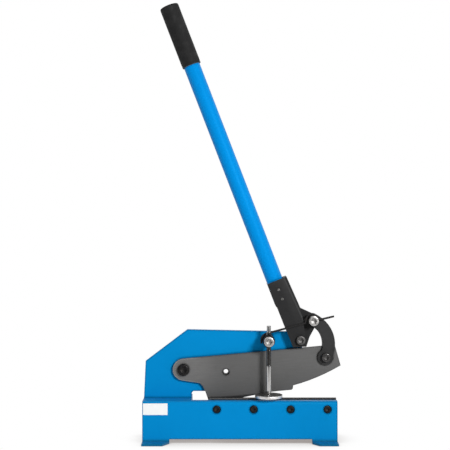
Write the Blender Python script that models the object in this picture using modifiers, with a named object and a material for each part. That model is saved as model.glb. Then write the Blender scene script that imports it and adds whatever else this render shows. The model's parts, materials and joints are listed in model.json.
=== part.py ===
"""A hand-lever bench shear, built from its separate pieces.

Metres, +Z up. The shear stands on its feet at Z = 0, the long way of its base runs along X,
and its front, with the lower blade, faces -Y. The origin is on the bench under the middle of
the box that the whole shear fits in.
"""

import math

import bmesh
import bpy
from mathutils import Matrix, Vector

# Clearances, fillets and counts that many pieces share
overrun = 0.004
seat_gap = 0.0003
running_gap = 0.00015
weld_distance = 0.00001
edge_break = 0.0006
round_steps = 32
fine_steps = 48
hexagon = 6
arc_steps = 12
bend_steps = 4

# Base: two bent plates, front and rear, welded to the frame plate between them
column_width = 0.1598
base_depth = 0.116
base_height = 0.1004
base_plate = 0.005
base_bend = 0.007
wall_underside = 0.010
foot_reach = 0.031
left_foot_width = 0.0645
right_foot_width = 0.0605
foot_corner_length = 0.0155
left_foot_corner_depth = 0.0275
right_foot_corner_depth = 0.022
front_flange_depth = 0.020
rear_wall_rise = 0.004
rib_thickness = 0.006
rib_inset = 0.005
front_rib_drop = 0.003
rear_rib_drop = 0.006

# Frame plate: column, arm to the lever pivot, throat and lower jaw
frame_thickness = 0.012
frame_left_inset = 0.0002
frame_left_lean = 0.0040
shoulder_rise = 0.0196
arm_top_left_reach = 0.0087
arm_top_left_rise = 0.0218
arm_end_radius = 0.0162
throat_left_reach = 0.0195
throat_rise = 0.0160
throat_corner = 0.004
throat_slope_length = 0.060
throat_slope_back = 0.0461
throat_slope_drop = 0.1020
jaw_drop = 0.0284
jaw_inset = 0.005

# Pivots in the plane of the frame plate: the blade's from the column, the lever's from the link hole
blade_pivot_inset = 0.0966
blade_pivot_rise = 0.0671
lever_pivot_back = 0.0612
lever_pivot_rise = 0.0429

# Upper blade, drawn in its own frame with the blade pivot at the origin
blade_thickness = 0.010
blade_rear_gap = 0.0008
blade_tilt = math.radians(5.26)
blade_top_height = 0.0262
blade_neck_x = 0.0360
blade_neck_height = -0.0359
blade_neck_slope_x = 0.0422
blade_neck_slope_height = -0.0431
blade_heel_top_x = 0.0479
blade_heel_top_height = -0.0577
blade_heel_x = 0.0540
blade_heel_height = -0.0821
blade_edge_rise = 0.0097
blade_edge_rise_start_x = 0.099
blade_edge_rise_back = 0.037
blade_toe_radius = 0.0050
blade_toe_lean = 0.0012
blade_toe_height = -0.0622
blade_tip_reach = 0.0746
blade_tip_height = -0.0245
blade_tail_length = 0.1187
blade_tail_bow = 0.0044
blade_corner_back = 0.0095
blade_edge_steps = 8
blade_tail_steps = 6
blade_link_hole_back = 0.0349
blade_link_hole_height = -0.0003
bar_hole_x = 0.1017
bar_hole_height = -0.0151
bar_hole_radius = 0.0088
bar_bush_bore_radius = 0.0056
bar_bush_radius = 0.0110

# Lower blade, its carrier bar and bolts
lower_blade_length = 0.305
lower_blade_height = 0.050
lower_blade_thickness = 0.0107
lower_blade_proud = 0.0023
lower_blade_right_inset = 0.0002
blade_shear_gap = 0.0003
carrier_height = 0.040
blade_bolt_left_margin = 0.0175
blade_bolt_right_margin = 0.0235
blade_bolt_count = 4
blade_bolt_drop = 0.0198
blade_bolt_hole_radius = 0.0100
blade_bolt_head_radius = 0.0090
blade_bolt_head_height = 0.012
blade_bolt_radius = 0.0060
blade_bolt_recess = 0.003
blade_bolt_end_margin = 0.0016

# Lever: bent bracket, central plate, handle tube and grip, drawn along the handle
handle_lean = math.radians(21.12)
handle_offset = -0.0060
handle_radius = 0.020
handle_wall = 0.003
handle_bottom = 0.0955
handle_top = 0.8649
grip_radius = 0.0230
grip_length = 0.1604
grip_end_wall = 0.004
grip_edge = 0.004
cheek_thickness = 0.006
bracket_bend = 0.009
bracket_web_thickness = 0.007
bracket_top = 0.1545
bracket_top_slope = 0.0010
bracket_right = 0.0234
bracket_flare = 0.0039
bracket_web_bottom = 0.077
bracket_step = 0.0950
bracket_step_inset = 0.0022
bracket_waist_x = 0.0225
bracket_waist_height = 0.0428
bracket_foot_right_x = 0.0074
bracket_foot_right_height = -0.0201
bracket_foot_left_x = -0.0233
bracket_foot_left_height = -0.0096
lever_arm_x = 0.0452
lever_arm_height = 0.0327
lever_boss_radius = 0.0136
lever_plate_left_x = -0.0180
lever_plate_left_height = -0.0110
lever_plate_foot_x = 0.0082
lever_plate_foot_height = -0.0223
lever_plate_waist_x = 0.0241
lever_plate_waist_height = -0.0028
lever_plate_gusset_x = 0.0282
lever_plate_gusset_height = 0.0697
lever_plate_inner_x = 0.0140
lever_plate_inner_height = 0.0300
set_screw_radius = 0.0032
set_screw_proud = 0.0006
set_screw_heights = (0.1075, 0.1315)

# Links
link_thickness = 0.008
link_gap = 0.0005
link_bow = 0.0210
link_half_width = 0.0149
link_top_swell = 0.0002
link_low_swell = 0.0044
link_blade_clearance = 0.0027

# Bolts, nuts and washers of the pivots
blade_pivot_radius = 0.0080
blade_pivot_head_radius = 0.0140
blade_pivot_head_height = 0.010
lever_pivot_radius = 0.0070
lever_pivot_head_radius = 0.0111
lever_pivot_head_height = 0.010
lever_spacer_radius = 0.0110
link_pivot_radius = 0.0080
link_pivot_head_radius = 0.0122
link_pivot_head_height = 0.011
link_blade_radius = 0.0065
link_blade_head_radius = 0.0108
link_blade_head_height = 0.011
pivot_washer_thickness = 0.002
washer_border = 0.0050
nut_height = 0.011
nut_border = 0.0055
bolt_end_length = 0.003
socket_share = 0.58
socket_depth = 0.0055

# Hold-down: stud in the frame plate, rod through it, pad on the rod and clamp bolt
hold_down_back = 0.0773
hold_down_y = -0.053
stud_drop = 0.0004
stud_radius = 0.0142
stud_reach = 0.015
stud_shank_radius = 0.0080
rod_radius = 0.0060
rod_smooth_radius = 0.0055
rod_tip_radius = 0.0050
rod_rise = 0.0362
rod_tip_length = 0.0150
rod_smooth_length = 0.0681
pad_radius = 0.0330
pad_thickness = 0.0068
pad_clearance = 0.0061
pad_socket_depth = 0.0035
clamp_bolt_head_radius = 0.0122
clamp_bolt_head_height = 0.012

# Latch wire on the link pivot bolt
wire_radius = 0.0021
wire_gap = 0.0004
wire_slope = math.radians(14.7)
hook_gap = 0.0008
hook_leg = 0.007
wire_front_gap = 0.0005
wire_run_end_x = -0.0222
coil_lead_radius = 0.0184
coil_lead_sweep = math.radians(150)
coil_start = math.pi
coil_sweep = math.radians(500)
coil_step = math.radians(20)
tail_bend_x = 0.0190
tail_bend_height = 0.0024
tail_slope = math.radians(13.4)
tail_end_x = 0.0495
hook_steps = 6
wire_bend_steps = 5
wire_sides_resolution = 2

# Blank label on the front wall
label_width = 0.0588
label_height = 0.0276
label_thickness = 0.0004
label_inset = 0.0016
label_drop = 0.0050

# Heights and lengths worked out from the sizes above
base_length = column_width + lower_blade_length + lower_blade_right_inset
lower_blade_top = base_height + lower_blade_proud
blade_bolt_height = base_height - blade_bolt_drop
jaw_height = base_height - jaw_drop
throat_height = base_height + throat_rise
label_top = base_height - label_drop
pad_bottom = lower_blade_top + pad_clearance
rod_shoulder = pad_bottom + pad_thickness + rod_smooth_length
blade_pivot_x = blade_pivot_inset - base_length / 2
blade_pivot_height = lower_blade_top + blade_pivot_rise
throat_left_x = blade_pivot_x + throat_left_reach
carrier_top = base_height - base_bend - seat_gap
carrier_bottom = carrier_top - carrier_height
rear_wall_height = jaw_height + rear_wall_rise

# Planes worked out from the sizes above
front_face_y = -base_depth / 2
rear_face_y = base_depth / 2
frame_front_y = -frame_thickness / 2
frame_rear_y = frame_thickness / 2
blade_rear_y = frame_front_y - blade_rear_gap
blade_front_y = blade_rear_y - blade_thickness
blade_middle_y = (blade_rear_y + blade_front_y) / 2
lower_blade_rear_y = blade_front_y - blade_shear_gap
lower_blade_front_y = lower_blade_rear_y - lower_blade_thickness
front_link_rear_y = blade_front_y - link_gap
front_link_front_y = front_link_rear_y - link_thickness
rear_link_front_y = blade_rear_y + link_gap
rear_link_rear_y = rear_link_front_y + link_thickness
bracket_half_width = handle_radius + seat_gap + cheek_thickness
bracket_front_y = blade_middle_y - bracket_half_width
bracket_rear_y = blade_middle_y + bracket_half_width
wire_run_y = bracket_front_y - wire_front_gap - wire_radius
coil_radius = link_pivot_radius + 2 * wire_gap + wire_radius
coil_rear_y = wire_run_y + (2 * wire_radius + wire_gap) * coil_sweep / (2 * math.pi)
lower_blade_right_x = base_length / 2 - lower_blade_right_inset
lower_blade_left_x = lower_blade_right_x - lower_blade_length


def rotated(x, z, angle):
    """Return the point (x, z) turned by an angle from +X towards +Z"""
    return (x * math.cos(angle) - z * math.sin(angle), x * math.sin(angle) + z * math.cos(angle))


# Pivot places worked out from the blade's and the lever's own frames
blade_tip_x = lower_blade_length + blade_tip_reach
blade_toe_x = blade_tip_x - blade_tail_length
blade_link_hole_x = blade_tip_x - blade_link_hole_back
hole_x, hole_z = rotated(blade_link_hole_x, blade_link_hole_height, blade_tilt)
link_blade_x = blade_pivot_x + hole_x
link_blade_height = blade_pivot_height + hole_z
lever_pivot_x = link_blade_x - lever_pivot_back
lever_pivot_height = link_blade_height + lever_pivot_rise
arm_x, arm_z = rotated(lever_arm_x, lever_arm_height, handle_lean)
link_pivot_x = lever_pivot_x + arm_x
link_pivot_height = lever_pivot_height + arm_z
link_length = math.hypot(link_blade_x - link_pivot_x, link_pivot_height - link_blade_height)
link_turn = math.atan2(link_blade_x - link_pivot_x, link_pivot_height - link_blade_height)
link_arc_radius = link_bow / 2 + link_length ** 2 / (8 * link_bow)
link_top_radius = link_half_width + link_top_swell
link_low_radius = link_half_width + link_low_swell
hold_down_x = lever_pivot_x - hold_down_back
stud_height = lever_pivot_height - stud_drop
stud_front_y = hold_down_y - stud_reach
bar_x, bar_z = rotated(bar_hole_x, bar_hole_height, blade_tilt)
bush_x = blade_pivot_x + bar_x
bush_height = blade_pivot_height + bar_z
tip_x, tip_z = rotated(blade_tip_x, blade_tip_height, blade_tilt)
right_end_x = max(blade_pivot_x + tip_x, base_length / 2)
origin_shift_x = (right_end_x - base_length / 2) / 2


def new_collection(name):
    """Make a collection in the scene"""
    collection = bpy.data.collections.new(name)
    bpy.context.scene.collection.children.link(collection)
    return collection


def new_material(name, colour, roughness, metallic):
    """Make a Principled material of one colour"""
    material = bpy.data.materials.new(name)
    material.use_nodes = True
    shader = material.node_tree.nodes["Principled BSDF"]
    shader.inputs["Base Color"].default_value = (*colour, 1.0)
    shader.inputs["Roughness"].default_value = roughness
    shader.inputs["Metallic"].default_value = metallic
    return material


def new_empty(name, parent, location, turn=0.0):
    """Make an empty for a joint axis, turned about Y from +X towards +Z"""
    axis = bpy.data.objects.new(name, None)
    parts.objects.link(axis)
    axis.parent = parent
    axis.location = location
    axis.rotation_euler = (0.0, -turn, 0.0)
    return axis


def place(obj, parent, matrix):
    """Put an object in its parent's frame"""
    obj.parent = parent
    obj.matrix_basis = matrix


def smooth_rounds(mesh):
    """Shade a mesh smooth, with its real corners kept sharp"""
    mesh.shade_smooth()
    mesh.set_sharp_from_angle(angle=math.radians(30))


def new_solid(name, mesh, parent, matrix, material):
    """Add a mesh as a piece of the shear, or as a cutter when it has no material"""
    obj = bpy.data.objects.new(name, mesh)
    if material is None:
        cutters.objects.link(obj)
        obj.hide_render = True
        obj.display_type = 'WIRE'
    else:
        parts.objects.link(obj)
        mesh.materials.clear()
        mesh.materials.append(material)
    place(obj, parent, matrix)
    return obj


def boolean(obj, cutter, operation='DIFFERENCE'):
    """Cut, join or intersect an object with another mesh object"""
    modifier = obj.modifiers.new(cutter.name, 'BOOLEAN')
    modifier.operation = operation
    modifier.object = cutter
    modifier.solver = 'EXACT'


def box(name, low, high, parent, material=None):
    """A block between two corners"""
    low = Vector(low)
    high = Vector(high)
    mesh = bpy.data.meshes.new(name)
    work = bmesh.new()
    bmesh.ops.create_cube(work, size=1.0, matrix=Matrix.Diagonal((*(high - low), 1.0)))
    work.to_mesh(mesh)
    work.free()
    return new_solid(name, mesh, parent, Matrix.Translation((low + high) / 2), material)


def along_y(x, y, z):
    """The matrix that stands a Z-turned shape along Y, its top facing the front"""
    return Matrix.Translation((x, y, z)) @ Matrix.Rotation(math.pi / 2, 4, 'X')


def prism(name, radius, length, sides, parent, matrix, material=None):
    """A cylinder or a prism that runs down from the origin of its matrix"""
    mesh = bpy.data.meshes.new(name)
    work = bmesh.new()
    bmesh.ops.create_cone(work, cap_ends=True, segments=sides, radius1=radius, radius2=radius,
                          depth=length, matrix=Matrix.Translation((0.0, 0.0, -length / 2)))
    work.to_mesh(mesh)
    work.free()
    if sides > hexagon:
        smooth_rounds(mesh)
    return new_solid(name, mesh, parent, matrix, material)


def hole_cutter(name, radius, x, z, parent, y_low=None, y_high=None):
    """A round cutter along Y, through everything unless it is given an end"""
    front = front_face_y - foot_reach if y_low is None else y_low
    rear = rear_face_y + foot_reach if y_high is None else y_high
    return prism(name, radius, rear - front, round_steps, parent, along_y(x, front, z))


def turned(name, profile, parent, matrix, material, steps=round_steps, ring=False):
    """A turned shape: its profile of (radius, height) runs from top to bottom on the outside"""
    mesh = bpy.data.meshes.new(name)
    work = bmesh.new()
    points = [work.verts.new((radius, 0.0, height)) for radius, height in profile]
    for first, second in zip(points, points[1:]):
        work.edges.new((first, second))
    if ring:
        work.edges.new((points[-1], points[0]))
    work.to_mesh(mesh)
    work.free()
    obj = new_solid(name, mesh, parent, matrix, material)
    screw = obj.modifiers.new("turn", 'SCREW')
    screw.axis = 'Z'
    screw.steps = steps
    screw.render_steps = steps
    screw.use_merge_vertices = True
    screw.merge_threshold = weld_distance
    screw.use_smooth_shade = True
    return obj


def outline_solid(name, points, low, high, parent, material=None, plane='XZ'):
    """A flat outline of (x, z) points given a thickness between two Y planes.

    In the plane XY the points are (x, y) and the thickness lies between two heights.
    """
    curve = bpy.data.curves.new(name, 'CURVE')
    curve.dimensions = '2D'
    curve.fill_mode = 'BOTH'
    curve.extrude = (high - low) / 2
    spline = curve.splines.new('POLY')
    spline.points.add(len(points) - 1)
    for point, (x, z) in zip(spline.points, points):
        point.co = (x, z, 0.0, 1.0)
    spline.use_cyclic_u = True
    drawn = bpy.data.objects.new(name, curve)
    parts.objects.link(drawn)
    middle = (low + high) / 2
    if plane == 'XZ':
        drawn.matrix_world = along_y(0.0, middle, 0.0)
    else:
        drawn.matrix_world = Matrix.Translation((0.0, 0.0, middle))
    bpy.context.view_layer.update()
    return solid_from_curve(drawn, parent, material)


def solid_from_curve(drawn, parent, material):
    """Turn a curve into a mesh with its caps welded on"""
    evaluated = drawn.evaluated_get(bpy.context.evaluated_depsgraph_get())
    mesh = bpy.data.meshes.new_from_object(evaluated)
    work = bmesh.new()
    work.from_mesh(mesh)
    bmesh.ops.remove_doubles(work, verts=work.verts, dist=weld_distance)
    work.to_mesh(mesh)
    work.free()
    mesh.shade_flat()
    matrix = drawn.matrix_world.copy()
    name = drawn.name
    bpy.data.objects.remove(drawn)
    return new_solid(name, mesh, parent, matrix, material)


def arc(centre_x, centre_z, radius, start, end, steps):
    """Points on an arc, both ends included"""
    angles = [start + (end - start) * step / steps for step in range(steps + 1)]
    return [(centre_x + radius * math.cos(a), centre_z + radius * math.sin(a)) for a in angles]


def tangent_angle(point, centre, radius, side):
    """The angle on a circle where the line from a point touches it, on the +1 or -1 side"""
    across = point[0] - centre[0]
    up = point[1] - centre[1]
    return math.atan2(up, across) + side * math.acos(radius / math.hypot(across, up))


def crossing_angle(centre, radius, other, other_radius, side):
    """The angle on a circle where another circle crosses it, on the +1 or -1 side"""
    across = other[0] - centre[0]
    up = other[1] - centre[1]
    distance = math.hypot(across, up)
    share = (radius ** 2 + distance ** 2 - other_radius ** 2) / (2 * radius * distance)
    return math.atan2(up, across) + side * math.acos(share)


def quadratic(first, control, last, steps):
    """Points on a quadratic curve, without its first point"""
    points = []
    for step in range(1, steps + 1):
        share = step / steps
        near = (1 - share) ** 2
        middle = 2 * share * (1 - share)
        points.append(first * near + control * middle + last * share ** 2)
    return points


def washer(name, bore, outer, thickness, parent, matrix, material):
    """A plain ring that runs down from the origin of its matrix"""
    profile = [(outer, 0.0), (outer, -thickness), (bore, -thickness), (bore, 0.0)]
    return turned(name, profile, parent, matrix, material, ring=True)


def nut(name, bolt_radius, x, y, z, parent, material):
    """A hexagon nut whose front face lies at y"""
    matrix = along_y(x, y, z)
    body = prism(name, bolt_radius + nut_border, nut_height, hexagon, parent, matrix, material)
    bore = prism(name + "_bore", bolt_radius + running_gap, nut_height + 2 * overrun, round_steps,
                 parent, along_y(x, y - overrun, z))
    boolean(body, bore)
    return body


def cap_screw(name, radius, length, head_radius, head_height, x, seat_y, z, parent, material):
    """A socket cap screw along Y, its head in front of the seat plane"""
    front_y = seat_y - head_height
    total = head_height + length
    profile = [
        (0.0, 0.0),
        (head_radius - edge_break, 0.0),
        (head_radius, -edge_break),
        (head_radius, -head_height),
        (radius, -head_height),
        (radius, -total + edge_break),
        (radius - edge_break, -total),
        (0.0, -total),
    ]
    screw = turned(name, profile, parent, along_y(x, front_y, z), material)
    socket = prism(name + "_socket", head_radius * socket_share, socket_depth + overrun, hexagon,
                   parent, along_y(x, front_y - overrun, z))
    boolean(screw, socket)
    return screw


def bent_plate_section(face_y, inner_y):
    """The section of a bent base plate: foot flange, wall and top web, as (y, z) points"""
    outward = -1.0 if face_y < inner_y else 1.0
    inner_bend = base_bend - base_plate
    web_y = face_y - outward * base_bend
    flange_y = face_y + outward * inner_bend
    toe_y = face_y + outward * foot_reach
    top_z = base_height - base_bend
    foot_z = base_bend
    outer_top = arc(web_y, top_z, base_bend, 0.0, math.pi / 2, bend_steps)
    inner_top = arc(web_y, top_z, inner_bend, math.pi / 2, 0.0, bend_steps)
    outer_foot = arc(flange_y, foot_z, inner_bend, 1.5 * math.pi, math.pi, bend_steps)
    inner_foot = arc(flange_y, foot_z, base_bend, math.pi, 1.5 * math.pi, bend_steps)
    if outward < 0:
        outer_top = [(2 * web_y - y, z) for y, z in outer_top]
        inner_top = [(2 * web_y - y, z) for y, z in inner_top]
        outer_foot = [(2 * flange_y - y, z) for y, z in outer_foot]
        inner_foot = [(2 * flange_y - y, z) for y, z in inner_foot]
    top = [(inner_y, base_height), (inner_y, base_height - base_plate)]
    toe = [(toe_y, 0.0), (toe_y, base_plate)]
    return outer_top + top + inner_top + inner_foot + toe + outer_foot


def build_bent_plate(name, face_y, inner_y, parent):
    """One bent base plate with its feet, cut between the feet and in the throat"""
    half = base_length / 2
    section = bent_plate_section(face_y, inner_y)
    plate = outline_solid(name, section, -half, half, parent, materials["blue_paint"], 'XY')
    plate.matrix_basis = Matrix(((0, 0, 1, 0), (1, 0, 0, 0), (0, 1, 0, 0), (0, 0, 0, 1)))
    left_x = -half + left_foot_width
    right_x = half - right_foot_width
    reach = abs(face_y) + foot_reach + overrun
    side = 1.0 if face_y > 0 else -1.0
    near_y, far_y = sorted((side * frame_thickness / 2, side * reach))
    gap = box(name + "_gap", (left_x, near_y, -overrun), (right_x, far_y, wall_underside), parent)
    boolean(plate, gap)
    toe_y = face_y + side * foot_reach
    past_toe_y = toe_y + side * overrun
    corners = (
        ("left", left_x, -1.0, left_foot_corner_depth),
        ("right", right_x, 1.0, right_foot_corner_depth),
    )
    for corner_name, corner_x, outward, depth in corners:
        chamfer_x = corner_x + outward * foot_corner_length
        chamfer_y = toe_y - side * depth
        past_corner_x = corner_x - outward * overrun
        shape = [
            (corner_x, chamfer_y),
            (chamfer_x, toe_y),
            (chamfer_x, past_toe_y),
            (past_corner_x, past_toe_y),
            (past_corner_x, chamfer_y),
        ]
        corner = outline_solid(name + "_corner_" + corner_name, shape, -overrun, base_plate + overrun,
                               parent, None, 'XY')
        boolean(plate, corner)
    return plate


def build_base(parent):
    """The two bent plates, and the ribs that tie them to the frame plate at the right"""
    front = build_bent_plate("base_front_plate", front_face_y, frame_front_y - seat_gap, parent)
    rear = build_bent_plate("base_rear_plate", rear_face_y, frame_rear_y + seat_gap, parent)
    half = base_length / 2
    slot = box("front_web_slot", (throat_left_x, front_face_y + front_flange_depth, jaw_height),
               (half + overrun, frame_front_y + overrun, base_height + overrun), parent)
    boolean(front, slot)
    for index in range(blade_bolt_count):
        boolean(front, hole_cutter("wall_hole_%d" % (index + 1), blade_bolt_hole_radius,
                                   blade_bolt_x(index), blade_bolt_height, parent,
                                   front_face_y - overrun, front_face_y + base_plate + overrun))
    lowered = box("rear_wall_step", (throat_left_x, frame_rear_y - overrun, rear_wall_height),
                  (half + overrun, rear_face_y + overrun, base_height + overrun), parent)
    boolean(rear, lowered)
    rib_right = half - rib_inset
    rib_left = rib_right - rib_thickness
    wall_inner = base_depth / 2 - base_plate - seat_gap
    plate_inner = frame_thickness / 2 + seat_gap
    paint = materials["blue_paint"]
    box("front_end_rib", (rib_left, -wall_inner, wall_underside),
        (rib_right, -plate_inner, carrier_bottom - front_rib_drop), parent, paint)
    box("rear_end_rib", (rib_left, plate_inner, wall_underside),
        (rib_right, wall_inner, rear_wall_height - rear_rib_drop), parent, paint)


def build_frame_plate(parent):
    """The upright plate with its arm, throat and lower jaw"""
    half = base_length / 2
    left_x = -half + frame_left_inset
    pivot = (lever_pivot_x, lever_pivot_height)
    shoulder_top = (blade_pivot_x + arm_top_left_reach, lever_pivot_height + arm_top_left_rise)
    slope_x = lever_pivot_x - throat_slope_back
    throat_slope = (slope_x, lever_pivot_height - throat_slope_drop)
    top_angle = tangent_angle(shoulder_top, pivot, arm_end_radius, -1)
    low_angle = tangent_angle(throat_slope, pivot, arm_end_radius, 1)
    if low_angle > top_angle:
        low_angle -= 2 * math.pi
    outline = [
        (left_x, wall_underside),
        (left_x, base_height),
        (left_x + frame_left_lean, blade_pivot_height + shoulder_rise),
        shoulder_top,
    ]
    outline += arc(*pivot, arm_end_radius, top_angle, low_angle, arc_steps)
    outline += [
        throat_slope,
        (slope_x - throat_slope_length, throat_height),
        (throat_left_x + throat_corner, throat_height),
        (throat_left_x, throat_height - throat_corner),
        (throat_left_x, jaw_height),
        (half - jaw_inset, jaw_height),
        (half - jaw_inset, wall_underside),
    ]
    outline.reverse()
    plate = outline_solid("frame_plate", outline, frame_front_y, frame_rear_y, parent,
                          materials["blue_paint"])
    holes = (
        ("frame_blade_pivot_hole", blade_pivot_radius, blade_pivot_x, blade_pivot_height),
        ("frame_lever_pivot_hole", lever_pivot_radius, *pivot),
        ("frame_stud_hole", stud_shank_radius, hold_down_x, stud_height),
        ("frame_bush_hole", bar_bush_radius, bush_x, bush_height),
    )
    for name, radius, x, z in holes:
        boolean(plate, hole_cutter(name, radius + running_gap, x, z, parent))
    washer("bar_die_bush", bar_bush_bore_radius, bar_bush_radius, frame_thickness, parent,
           along_y(bush_x, frame_front_y, bush_height), materials["ground_steel"])


def blade_bolt_x(index):
    """Where each lower blade bolt stands along the base"""
    run = lower_blade_length - blade_bolt_left_margin - blade_bolt_right_margin
    return lower_blade_left_x + blade_bolt_left_margin + run * index / (blade_bolt_count - 1)


def build_lower_blade(parent):
    """The lower blade, the bar behind the wall that carries it, and their bolts"""
    blade_bottom = lower_blade_top - lower_blade_height
    blade = box("lower_blade", (lower_blade_left_x, lower_blade_front_y, blade_bottom),
                (lower_blade_right_x, lower_blade_rear_y, lower_blade_top), parent,
                materials["dark_steel"])
    carrier_front = front_face_y + base_plate + seat_gap
    carrier_rear = lower_blade_front_y - seat_gap
    carrier = box("blade_carrier_bar", (lower_blade_left_x, carrier_front, carrier_bottom),
                  (lower_blade_right_x, carrier_rear, carrier_top), parent, materials["blue_paint"])
    seat_y = front_face_y + blade_bolt_recess + blade_bolt_head_height
    end_y = lower_blade_rear_y - blade_bolt_end_margin
    for index in range(blade_bolt_count):
        number = index + 1
        x = blade_bolt_x(index)
        shank = hole_cutter("bolt_hole_%d" % number, blade_bolt_radius + running_gap, x,
                            blade_bolt_height, parent, carrier_front - overrun,
                            lower_blade_rear_y + overrun)
        head = hole_cutter("bolt_counterbore_%d" % number, blade_bolt_head_radius + seat_gap, x,
                           blade_bolt_height, parent, carrier_front - overrun, seat_y + seat_gap)
        boolean(blade, shank)
        boolean(carrier, shank)
        boolean(carrier, head)
        cap_screw("lower_blade_bolt_%d" % number, blade_bolt_radius, end_y - seat_y,
                  blade_bolt_head_radius, blade_bolt_head_height, x, seat_y, blade_bolt_height, parent,
                  materials["black_oxide"])


def blade_underside():
    """Points of the cutting edge, level and then rising, the round toe and the bowed tail"""
    points = [(blade_heel_x, blade_heel_height)]
    run = blade_toe_x - blade_edge_rise_back - blade_edge_rise_start_x
    for step in range(blade_edge_steps + 1):
        share = step / blade_edge_steps
        rise = blade_edge_rise * share * share * (3 - 2 * share)
        points.append((blade_edge_rise_start_x + run * share, blade_heel_height + rise))
    edge_height = blade_heel_height + blade_edge_rise
    toe_centre = (blade_toe_x - blade_toe_lean - blade_toe_radius, edge_height + blade_toe_radius)
    points += arc(*toe_centre, blade_toe_radius, -math.pi / 2, 0.0, bend_steps)
    for step in range(blade_tail_steps + 1):
        share = step / blade_tail_steps
        bow = 4 * blade_tail_bow * share * (1 - share)
        height = blade_toe_height + (blade_tip_height - blade_toe_height) * share
        points.append((blade_toe_x + blade_tail_length * share, height - bow))
    return points


def build_upper_blade(axis):
    """The upper blade, in the blade's own frame with its pivot at the origin"""
    neck = (blade_neck_x, blade_neck_height)
    lower_angle = tangent_angle(neck, (0.0, 0.0), blade_top_height, -1) % (2 * math.pi)
    outline = arc(0.0, 0.0, blade_top_height, math.pi / 2, lower_angle, arc_steps)
    outline += [
        neck,
        (blade_neck_slope_x, blade_neck_slope_height),
        (blade_heel_top_x, blade_heel_top_height),
    ]
    outline += blade_underside()
    outline.append((blade_tip_x - blade_corner_back, blade_top_height))
    blade = outline_solid("upper_blade", outline, blade_front_y, blade_rear_y, axis,
                          materials["ground_steel"])
    boolean(blade, hole_cutter("blade_pivot_hole", blade_pivot_radius + running_gap, 0.0, 0.0, axis))
    boolean(blade, hole_cutter("blade_bar_hole", bar_hole_radius, bar_hole_x, bar_hole_height, axis))
    boolean(blade, hole_cutter("blade_link_hole", link_blade_radius + link_blade_clearance,
                               blade_link_hole_x, blade_link_hole_height, axis))


def build_blade_pivot(parent):
    """The bolt, washer and nut that carry the upper blade"""
    washer_y = frame_rear_y + seat_gap
    nut_y = washer_y + pivot_washer_thickness + seat_gap
    seat_y = blade_front_y - seat_gap
    length = nut_y + nut_height + bolt_end_length - seat_y
    steel = materials["black_oxide"]
    cap_screw("blade_pivot_bolt", blade_pivot_radius, length, blade_pivot_head_radius,
              blade_pivot_head_height, blade_pivot_x, seat_y, blade_pivot_height, parent, steel)
    washer("blade_pivot_washer", blade_pivot_radius + running_gap, blade_pivot_radius + washer_border,
           pivot_washer_thickness, parent, along_y(blade_pivot_x, washer_y, blade_pivot_height), steel)
    nut("blade_pivot_nut", blade_pivot_radius, blade_pivot_x, nut_y, blade_pivot_height, parent, steel)


def build_lever_bracket(axis):
    """The bent bracket that clamps the handle tube between its cheeks"""
    left = handle_offset - handle_radius - seat_gap
    flare = math.atan2(bracket_flare, bracket_top - bracket_web_bottom)
    right = bracket_right + bracket_flare * bracket_top / (bracket_top - bracket_web_bottom)
    half = bracket_half_width
    inner_half = half - cheek_thickness
    inner_right = right - bracket_web_thickness
    bend = bracket_bend
    inner_bend = bracket_bend - cheek_thickness
    far_left = left - bracket_flare - 2 * overrun
    section = [(far_left, half), (far_left, inner_half)]
    inner_x = inner_right - inner_bend
    inner_y = inner_half - inner_bend
    section += arc(inner_x, inner_y, inner_bend, math.pi / 2, 0.0, bend_steps)
    section += arc(inner_x, -inner_y, inner_bend, 0.0, -math.pi / 2, bend_steps)
    section += [(far_left, -inner_half), (far_left, -half)]
    section += arc(right - bend, bend - half, bend, -math.pi / 2, 0.0, bend_steps)
    section += arc(right - bend, half - bend, bend, 0.0, math.pi / 2, bend_steps)
    low = bracket_foot_right_height - overrun
    high = bracket_top + 2 * overrun
    bracket = outline_solid("lever_bracket", section, low, high, axis, materials["black_paint"], 'XY')
    middle = (low + high) / 2
    lean = Matrix.Translation((0.0, blade_middle_y, 0.0)) @ Matrix.Rotation(-flare, 4, 'Y')
    bracket.matrix_basis = lean @ Matrix.Translation((0.0, 0.0, middle))
    web_right = bracket_right + bracket_flare
    side = [
        (left, bracket_top - bracket_top_slope),
        (left, bracket_step),
        (left + bracket_step_inset, bracket_step - bracket_step_inset),
        (bracket_foot_left_x, bracket_foot_left_height),
        (bracket_foot_right_x, bracket_foot_right_height),
        (bracket_waist_x, bracket_waist_height),
        (web_right, bracket_web_bottom),
        (web_right + bracket_flare, bracket_web_bottom + overrun),
        (web_right + bracket_flare, bracket_top),
    ]
    reach = half + overrun
    silhouette = outline_solid("bracket_silhouette", side, blade_middle_y - reach,
                               blade_middle_y + reach, axis)
    boolean(bracket, silhouette, 'INTERSECT')
    fork = box("bracket_fork", (far_left, blade_middle_y - inner_half, low - overrun),
               (web_right + 2 * overrun, blade_middle_y + inner_half, bracket_web_bottom), axis)
    boolean(bracket, fork)
    boolean(bracket, hole_cutter("bracket_pivot_hole", lever_pivot_radius + running_gap, 0.0, 0.0, axis))
    for index, height in enumerate(set_screw_heights):
        boolean(bracket, hole_cutter("set_screw_hole_%d" % (index + 1), set_screw_radius + running_gap,
                                     handle_offset, height, axis, bracket_front_y - overrun,
                                     bracket_front_y + cheek_thickness + seat_gap))


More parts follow.
